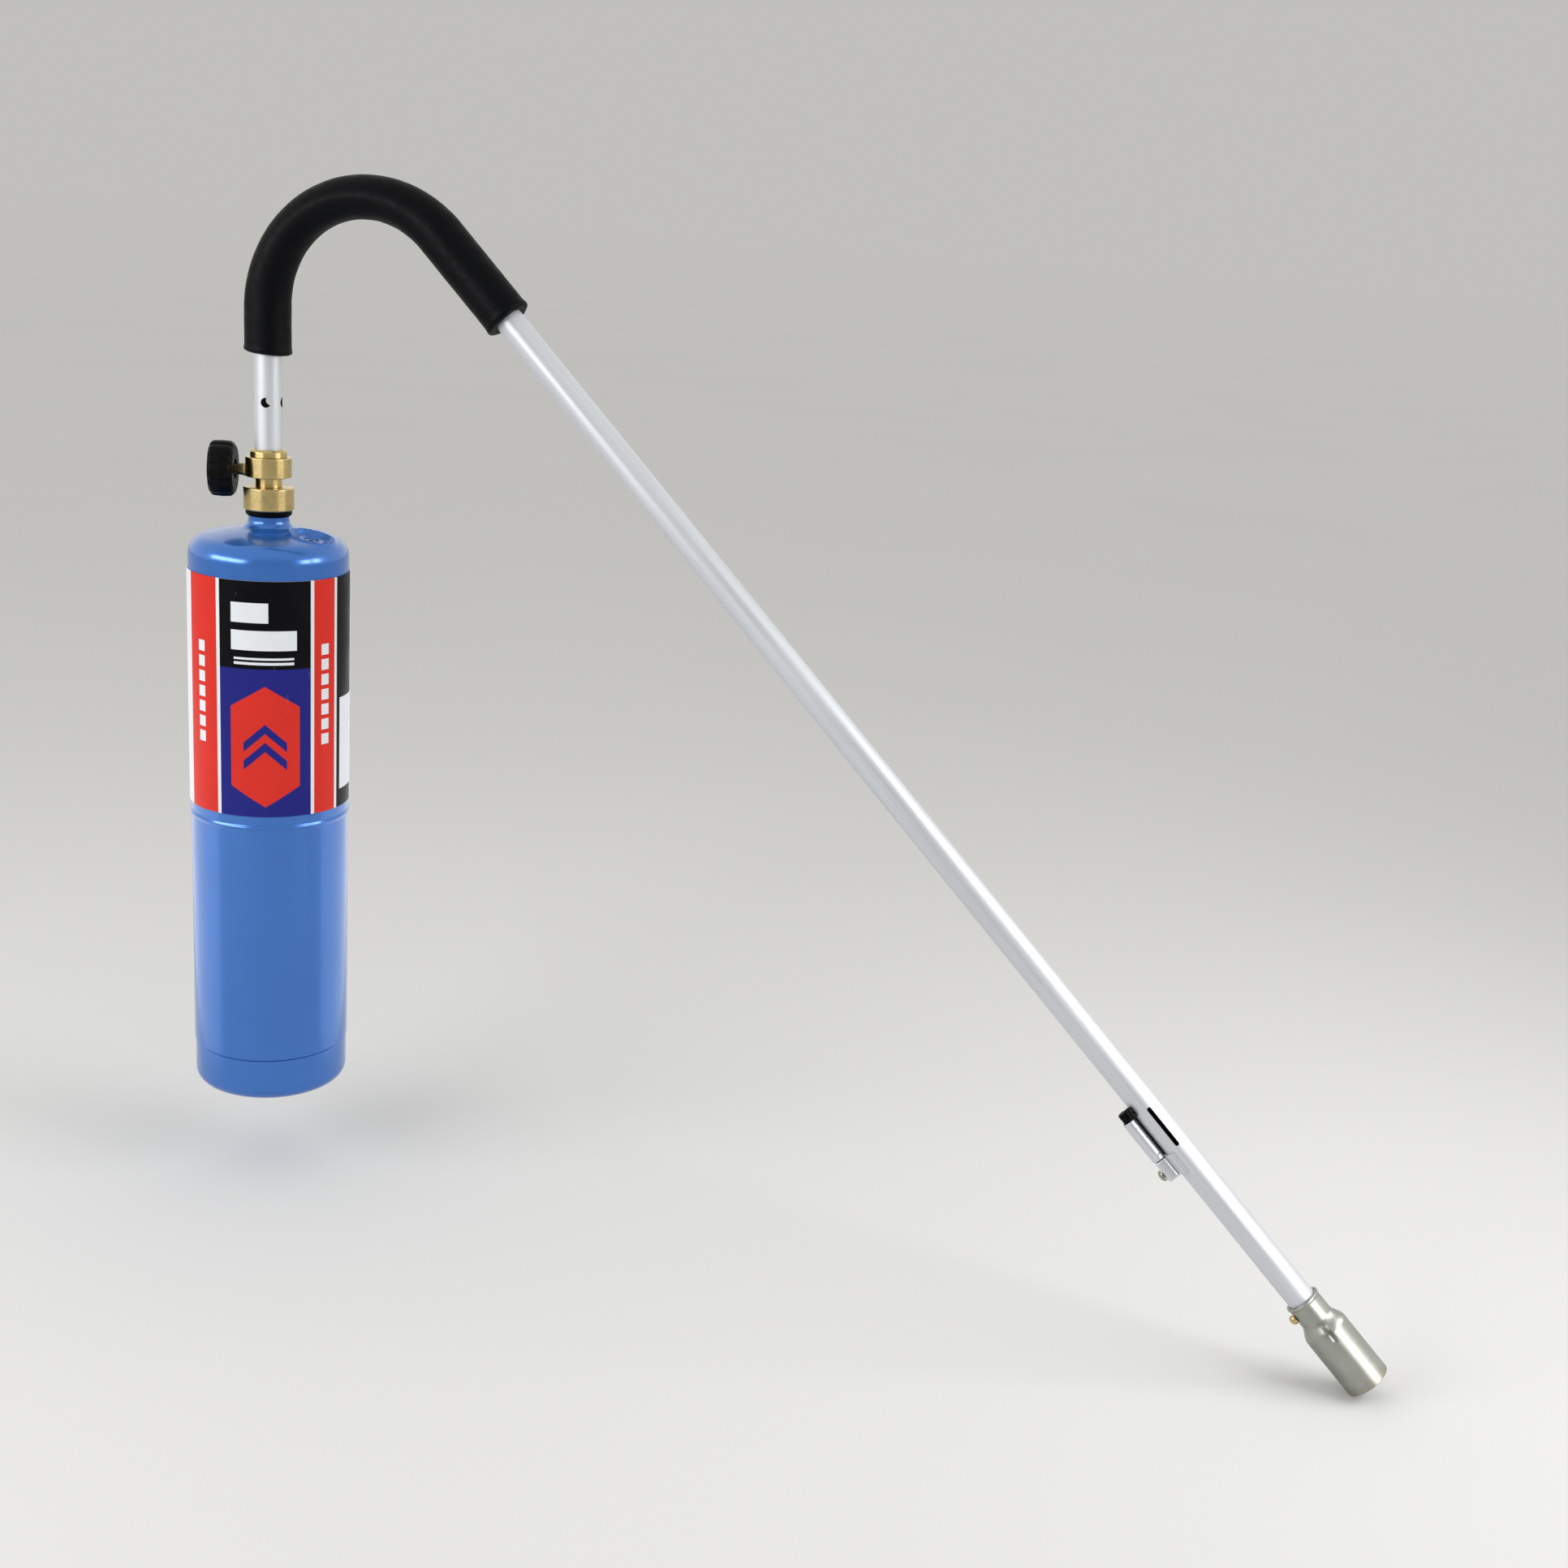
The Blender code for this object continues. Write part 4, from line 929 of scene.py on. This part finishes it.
def foam_sleeve(foam):
    """Foam grip: rounded ends with a slight lip, thin on the outside of the bend, with faint waves."""
    line, total = hook_line(GRIP_LOW, GRIP_END, 0.0007)
    round_r, lip, lip_at, lip_reach, mouth = 0.0011, 0.00035, 0.0012, 0.0022, 0.0006
    bend_start = BEND_Z - GRIP_LOW
    bend_length = (pi - LANCE_ANGLE) * BEND_R
    stretch, slant, slant_reach = 0.0014, 0.0008, 0.0120

    def outside(along):
        from_end = min(along, total - along)
        reach = GRIP_R
        if from_end < round_r:
            reach -= round_r - sqrt(round_r ** 2 - (round_r - from_end) ** 2)
        return reach + lip * max(0, 1 - abs(from_end - lip_at) / lip_reach)

    def bend_share(along):
        return sin(pi * min(1, max(0, (along - bend_start) / bend_length)))

    def waves(angle, along):
        spot = Vector((cos(angle) * GRIP_R, sin(angle) * GRIP_R, along))
        thin = bend_share(along) * (0.0003 + stretch * max(0, cos(angle)))
        return 0.00008 * noise.noise(spot * 130) + 0.00003 * noise.noise(spot * 420) - thin

    def inside(along):
        return GRIP_BORE - GAP / 2 + max(0, mouth - min(along, total - along))

    piece = hose("foam_sleeve", line, (outside, inside), [foam], shape=waves)
    for vertex in piece.data.vertices:
        share = max(0, 1 - (vertex.co.z - GRIP_LOW) / slant_reach)
        if vertex.co.x < BEND_R and share:
            vertex.co.z += slant * min(1, share) * (1 - vertex.co.x / GRIP_R)
    fit(piece, "torch", ["foam_grip"], 60)


# ---- igniter ----
def igniter_frame(along=0.0):
    return around_lance(IGNITER_TURN, TUBE_R + GAP + IGNITER_R, IGNITER_TOP + along)


def igniter_barrel(metal):
    """Thin drawn case with rolled rims and a crimped ring near its end."""
    length, edge = IGNITER_LENGTH, 0.0002
    crimp = length - 0.0022
    corners = [(IGNITER_R, length, edge), (IGNITER_R, crimp + 0.0005, edge), (IGNITER_R - edge, crimp, edge),
               (IGNITER_R, crimp - 0.0005, edge), (IGNITER_R, 0, edge), (CASE_BORE, 0, 0.0001),
               (CASE_BORE, length)]
    turned_ring("igniter_barrel", corners, igniter_frame(), metal, 72,
                ("torch", "igniter_case", "tube_metal"))


def push_button(plastic):
    top = BUTTON_TOP - IGNITER_TOP
    pin_r, pin_end, foot = 0.0013, 0.0035, -0.0002
    corners = [(0, pin_end), (pin_r, pin_end), (pin_r, foot), (BUTTON_R, foot, 0.0002),
               (BUTTON_R, -0.0016, 0.0001), (BUTTON_R - 0.00015, -0.0018, 0.0001),
               (BUTTON_R, -0.0020, 0.0001), (BUTTON_R, top, 0.0006), (BUTTON_R * 0.5, top + 0.00015),
               (0, top + 0.0002)]
    piece = lathe("push_button", rounded(corners), igniter_frame(), [plastic], steps=64)
    fit(piece, "button", ["igniter_button"])


def igniter_foot(metal):
    """Foot under the case: a rounded standoff on a saddle that follows the lance."""
    length = BRACKET_LENGTH
    start = IGNITER_LENGTH + GAP
    inner, outer, reach_out = TUBE_R + GAP / 3, TUBE_R + 0.0011, BRACKET_REACH
    standoff = reach_out - outer + 0.0004
    middle = IGNITER_TOP + start + length / 2
    place = around_lance(IGNITER_TURN, reach_out - standoff / 2, middle)
    piece = brick("igniter_foot", (standoff, 0.0054, length), place, 0.0012, [metal])
    half, edge = length / 2, 0.0002
    section = [(outer, half - edge), (outer - edge, half), (inner, half), (inner, -half),
               (outer - edge, -half), (outer, -half + edge)]
    saddle = lathe("saddle", section, around_lance(IGNITER_TURN, 0, middle), [], closed=True)
    side = brick("saddle_side", (0.0080, 0.0110, 0.0200), around_lance(IGNITER_TURN, 0.0070, middle))
    cut(saddle, side, operation="INTERSECT")
    cut(piece, saddle, operation="UNION")
    pin_hole = drum("pin_hole", 0.0011, -0.0021, 0.0021, igniter_frame(start + 0.0011))
    cut(piece, side_drum(*BRACKET_HOLE), side_drum(*LEAD_HOLE), pin_hole)
    fit(piece, "torch", ["igniter_bracket"])


def round_screw(name, head_r, head_height, shank_r, reach, turn, along, metal, node):
    """Round-headed screw with a straight slot, its shank pointing at the lance's axis."""
    shank_end = TUBE_R - TUBE_WALL - 0.0001
    place = around_lance(turn, 0, along) @ ACROSS
    rim = 0.12                # share of the head's height
    dome = [(head_r * sin(a), reach + head_height * (rim + (1 - rim) * cos(a)))
            for a in spaced(0, pi / 2, 14)]
    thread = [(shank_r, z) for z in spaced(reach, shank_end, 40)]
    pitch, depth, run_out = 0.0005, 0.00018, 0.0002

    def groove(r, angle, z):
        if r != shank_r or not shank_end + run_out < z < reach - run_out:
            return r, z
        turn_share = (z / pitch - angle / (2 * pi)) % 1
        return r - depth * abs(2 * turn_share - 1), z

    profile = dome + [(head_r, reach)] + thread + [(0, shank_end)]
    piece = lathe(name, profile, place, [metal], steps=48, shape=groove)
    slot_size = (head_r * 3, head_r * 0.28, head_height * 0.9)
    cut(piece, brick("driver_slot", slot_size, place @ Matrix.Translation((0, 0, reach + head_height))))
    fit(piece, "torch", [node])


def igniter_lug(plastic):
    """Small lug beside the button, with an eye through it and a thin black strip down the groove beside the
    case, which paints the shadow in that groove.
    """
    size = (0.0024, 0.0030, 0.0050)
    place = around_lance(CLIP_TURN, TUBE_R + GAP + size[0] / 2, CLIP_AT)
    piece = brick("igniter_lug", size, place, 0.0005, [plastic])
    start = CLIP_AT + 0.0012
    # painted shadow: a thin black strip down the groove between the case and the lance
    shade_strip = [(0, SHADE_STRIP_END - start), (SHADE_STRIP_R * 0.7, SHADE_STRIP_END - start - 0.0001), (SHADE_STRIP_R, SHADE_STRIP_END - start - 0.0004),
           (SHADE_STRIP_R, 0), (0, 0)]
    cut(piece, lathe("shade_strip", shade_strip, around_lance(SHADE_STRIP_TURN, SHADE_STRIP_REACH, start), [], 32), operation="UNION")
    eye = place @ Matrix.Rotation(radians(-28), 4, "Z") @ Matrix.Rotation(pi / 2, 4, "X")
    cut(piece, drum("eye", 0.0007, -0.0040, 0.0040, eye, 32))
    fit(piece, "torch", ["igniter_clip"])


# ---- burner ----
def burner_side(depth):
    """Barrel and flare of the burner, from its mouth to its neck, at a depth below the skin."""
    neck, barrel = BURNER_NECK_R - depth, BURNER_R - depth
    barrel_rows, flare_rows, fine_length = 24, 22, 0.0070
    side = [(barrel, z) for z in spaced(BURNER_FLARE_END + fine_length, BURNER_FLARE_END, barrel_rows)[:-1]]
    shares = spaced(0, 1, flare_rows)
    side += [(neck + (barrel - neck) * (1 + cos(pi * share)) / 2, z)
             for share, z in zip(shares, spaced(BURNER_FLARE_END, BURNER_NECK_END, flare_rows))]
    return side


def burner_cup(nickel):
    """Burner: rolled lip, neck, flare, barrel and a rounded mouth, with a pressed dimple."""
    roll, edge = 0.0004, 0.00025
    lip = [(BURNER_NECK_R, BURNER_LIP + 0.0016), (BURNER_NECK_R + roll * 0.7, BURNER_LIP + 0.0012),
           (BURNER_NECK_R + roll, BURNER_LIP + 0.0007), (BURNER_NECK_R + roll * 0.8, BURNER_LIP + 0.0002),
           (BURNER_NECK_R + roll * 0.3, BURNER_LIP)]
    mouth = [(BURNER_R - BURNER_WALL, BURNER_MOUTH - edge), (BURNER_R - BURNER_WALL + edge, BURNER_MOUTH),
             (BURNER_R - edge, BURNER_MOUTH), (BURNER_R, BURNER_MOUTH - edge)]
    inner = burner_side(BURNER_WALL) + [(BURNER_NECK_R - BURNER_WALL, BURNER_LIP)]
    profile = mouth + burner_side(0) + lip + inner[::-1]
    depth = 0.0004

    def dimple(r, angle, along):
        across = (angle - DIMPLE_TURN + pi) % (2 * pi) - pi
        side = min(1, abs(across) * r / DIMPLE_WIDTH)
        end = max(0, abs(along - DIMPLE_AT) - DIMPLE_HALF + DIMPLE_WIDTH) / DIMPLE_WIDTH
        near = max(0, 1 - hypot(side, min(1, end)))
        return r - depth * near * near * (3 - 2 * near), along

    piece = lathe("burner_cup", profile, LANCE, [nickel], steps=216, closed=True, shape=dimple)
    cut(piece, side_drum(*BURNER_HOLE))
    fit(piece, "torch", ["burner_head"])


def flame_plate(steel):
    """Perforated disc inside the burner: a ring of large and small ports, and the insulator's hole."""
    radius = BURNER_R - BURNER_WALL - GAP / 2
    low, high = 0.5845, 0.5865
    middle, through = (low + high) / 2, 0.0030
    corners = [(0, low), (radius, low, 0.0002), (radius, high, 0.0003), (0, high)]
    piece = lathe("flame_plate", rounded(corners), LANCE, [steel])
    large_port, small_port, insulator_r = (0.0060, 0.0012), (0.0068, 0.0006), 0.0016
    cutters = []
    for i in range(12):
        reach, hole = small_port if i % 2 else large_port
        place = around_lance(IGNITER_TURN + radians(30 * i + 30), reach, middle)
        cutters.append(drum(f"port_{i + 1}", hole, -through, through, place, 24))
    place = around_lance(IGNITER_TURN, LEAD_REACH, middle)
    cutters.append(drum("insulator_hole", insulator_r, -through, through, place, 32))
    cut(piece, *cutters)
    fit(piece, "torch", ["flame_holder"])


# ---- stage ----
CAMERA_FROM_AXIS = Vector((0.4863, -0.7683, 0.4074))     # from the middle of the cylinder's foot
CAMERA_PITCH = radians(15.72)
CAMERA_ROLL = radians(3.87)
CAMERA_YAW = radians(-17.28)
CAMERA_LENS = 45.68


def headings():
    """Level directions ahead of the camera and to its right."""
    return Vector((sin(CAMERA_YAW), cos(CAMERA_YAW), 0)), Vector((cos(CAMERA_YAW), -sin(CAMERA_YAW), 0))


def surround(toward_back):
    """World light: dim in front, brighter at the sides and above, and one plain tone to the camera."""
    front, side, above, plain = 0.45, 0.92, 0.82, 0.53
    world = bpy.data.worlds.new("surround")
    world.use_nodes = True
    made = Nodes(world.node_tree)

    def ramp(value, low, high, out_low, out_high):
        return made.spread(value, low, high, out_low, out_high, interpolation_type="SMOOTHSTEP")

    def blend(share, first, second):
        return made.node("ShaderNodeMix", {0: share, 2: first, 3: second}).outputs[0]

    way = made.node("ShaderNodeTexCoord").outputs["Generated"]
    depth = made.node("ShaderNodeVectorMath", {0: way, 1: toward_back}, operation="DOT_PRODUCT")
    level = made.node("ShaderNodeSeparateXYZ", {0: way}).outputs["Z"]
    around = ramp(depth.outputs["Value"], -0.50, -0.15, front, side)
    light = blend(ramp(level, 0.30, 0.80, 0, 1), around, above)
    seen = made.node("ShaderNodeLightPath").outputs["Is Camera Ray"]
    background = world.node_tree.nodes["Background"].inputs
    made.feed(background["Strength"], blend(seen, light, plain))
    made.feed(background["Color"], srgb(255, 254, 250))
    bpy.context.scene.world = world


def studio():
    """Pale floor, soft surround, two soft lights on the dome and three panels seen only as reflections."""
    bpy.context.scene.view_settings.view_transform = "Standard"
    made = Finish("floor", Roughness=0.9, Specular_IOR_Level=0.1)
    made.vary(srgb(210, 210, 210), 0.01, 2)
    shape = bmesh.new()
    bmesh.ops.create_grid(shape, x_segments=1, y_segments=1, size=30)
    floor = add_shape("floor", bpy.data.meshes.new("floor"), shape, Matrix(), [made.material])

    ahead, sideways = headings()
    surround(ahead)
    shoulder = Vector((AXIS_X, 0, FOOT_Z + KNUCKLE_Z))
    up = Vector((0, 0, 1))
    softbox("left_key", shoulder, -0.61 * sideways - 0.57 * ahead + 0.25 * up, (0.85, 0.24), 5)
    softbox("right_key", shoulder, 0.84 * sideways - 0.20 * ahead + 0.25 * up, (0.50, 0.26), 3.2)

    # the panels draw bands down the cylinder and the burner, and leave the floor even
    beyond = Vector((-CAMERA_FROM_AXIS.x, -CAMERA_FROM_AXIS.y, 0)).normalized()
    beside = Vector((beyond.y, -beyond.x, 0))
    low = Vector((AXIS_X, 0, 0.095)) + 0.20 * beyond
    panels = [softbox("left_panel", low, -0.16 * beside, (0.50, 0.19), 0.16),
              softbox("right_panel", low, 0.16 * beside, (0.50, 0.19), 0.16),
              softbox("burner_panel", MOUTH, Vector((0.41, -0.22, 0.19)), (0.35, 0.28), 0.20)]
    for panel in panels:
        panel.visible_diffuse = False
    panels[2].data.spread = radians(50)


def softbox(name, target, offset, size, power):
    """Soft light beside a target, facing it."""
    light = bpy.data.lights.new(name, "AREA")
    light.shape = "RECTANGLE"
    light.size, light.size_y = size
    light.energy = power
    turn = (-offset).to_track_quat("-Z", "Y").to_matrix().to_4x4()
    made = add_object(name, light, Matrix.Translation(target + offset) @ turn)
    made.visible_camera = False
    return made


def camera():
    data = bpy.data.cameras.new("camera")
    data.lens = CAMERA_LENS
    data.sensor_width = 36
    ahead, level = headings()
    forward = ahead * cos(CAMERA_PITCH) - Vector((0, 0, sin(CAMERA_PITCH)))
    right = level * cos(CAMERA_ROLL) + level.cross(forward) * sin(CAMERA_ROLL)
    place = basis(Vector((AXIS_X, 0, FOOT_Z)) + CAMERA_FROM_AXIS, right, -forward)
    bpy.context.scene.camera = add_object("camera", data, place)


# ---- the whole torch ----
def carried_over(finish, *nodes):
    """A better material for CAD nodes that stay."""
    for node in nodes:
        for slot in frame["nodes"][node].material_slots:
            slot.material = finish


def main():
    camera()
    studio()
    blue = paint("blue_enamel", srgb(50, 108, 188), -0.0005, 0.0009)
    brass = turned_brass("turned_brass")
    steel = bright_steel("bright_steel", srgb(200, 203, 208))
    zinc = bright_steel("dull_zinc", srgb(150, 155, 138))
    tube_colour = srgb(208, 211, 216)
    riser_metal = satin_metal("satin_riser", tube_colour, 0.46)
    lance_metal = satin_metal("satin_lance", tube_colour, 0.46, turn=LANCE_ANGLE)
    case_metal = satin_metal("satin_case", tube_colour, 0.30)
    # dark satin for the inside of the tube: painted shade in its bore and holes
    bore_shade = satin_metal("painted_bore_shade", srgb(34, 34, 36), 0.55)
    nickel = burner_nickel("burner_nickel")
    plastic = moulded_plastic("black_plastic", srgb(6, 6, 8))
    rubber = soft_rubber("black_rubber")
    ceramic = white_ceramic("white_ceramic")

    cylinder_skin(blue)
    bottom_cap(blue)
    printed_label(label_print("label_panels"))
    relief_plug(blue, rubber)
    threaded_stem(blue, brass)
    seal_ring(rubber)
    brass_collar(brass)
    brass_valve(brass)
    ferrule_cone(brass)
    gland_cone(brass)
    fluted_knob(plastic)
    satin_tube(riser_metal, lance_metal, bore_shade)
    foam_sleeve(closed_foam("closed_foam"))
    igniter_barrel(case_metal)
    push_button(plastic)
    igniter_foot(case_metal)
    round_screw("foot_screw", 0.0025, 0.0018, 0.0012, BRACKET_REACH + GAP, IGNITER_TURN, BRACKET_SCREW_AT,
                zinc, "bracket_screw")
    igniter_lug(plastic)
    burner_cup(nickel)
    round_screw("neck_screw", 0.0021, 0.0021, 0.0010, BURNER_NECK_R + GAP, BURNER_SCREW_TURN, SCREW_AT,
                brass, "burner_screw")
    flame_plate(steel)
    carried_over(brass, "tank_valve_core", "inlet_pin", "gas_jet", "igniter_terminal")
    carried_over(steel, "tank_valve_poppet", "tank_valve_spring", "valve_spindle", "igniter_spring",
                 "igniter_hammer", "spark_electrode")
    carried_over(rubber, "inlet_washer", "spindle_o_ring", "ignition_lead")
    carried_over(ceramic, "piezo_element", "electrode_insulator")


main()
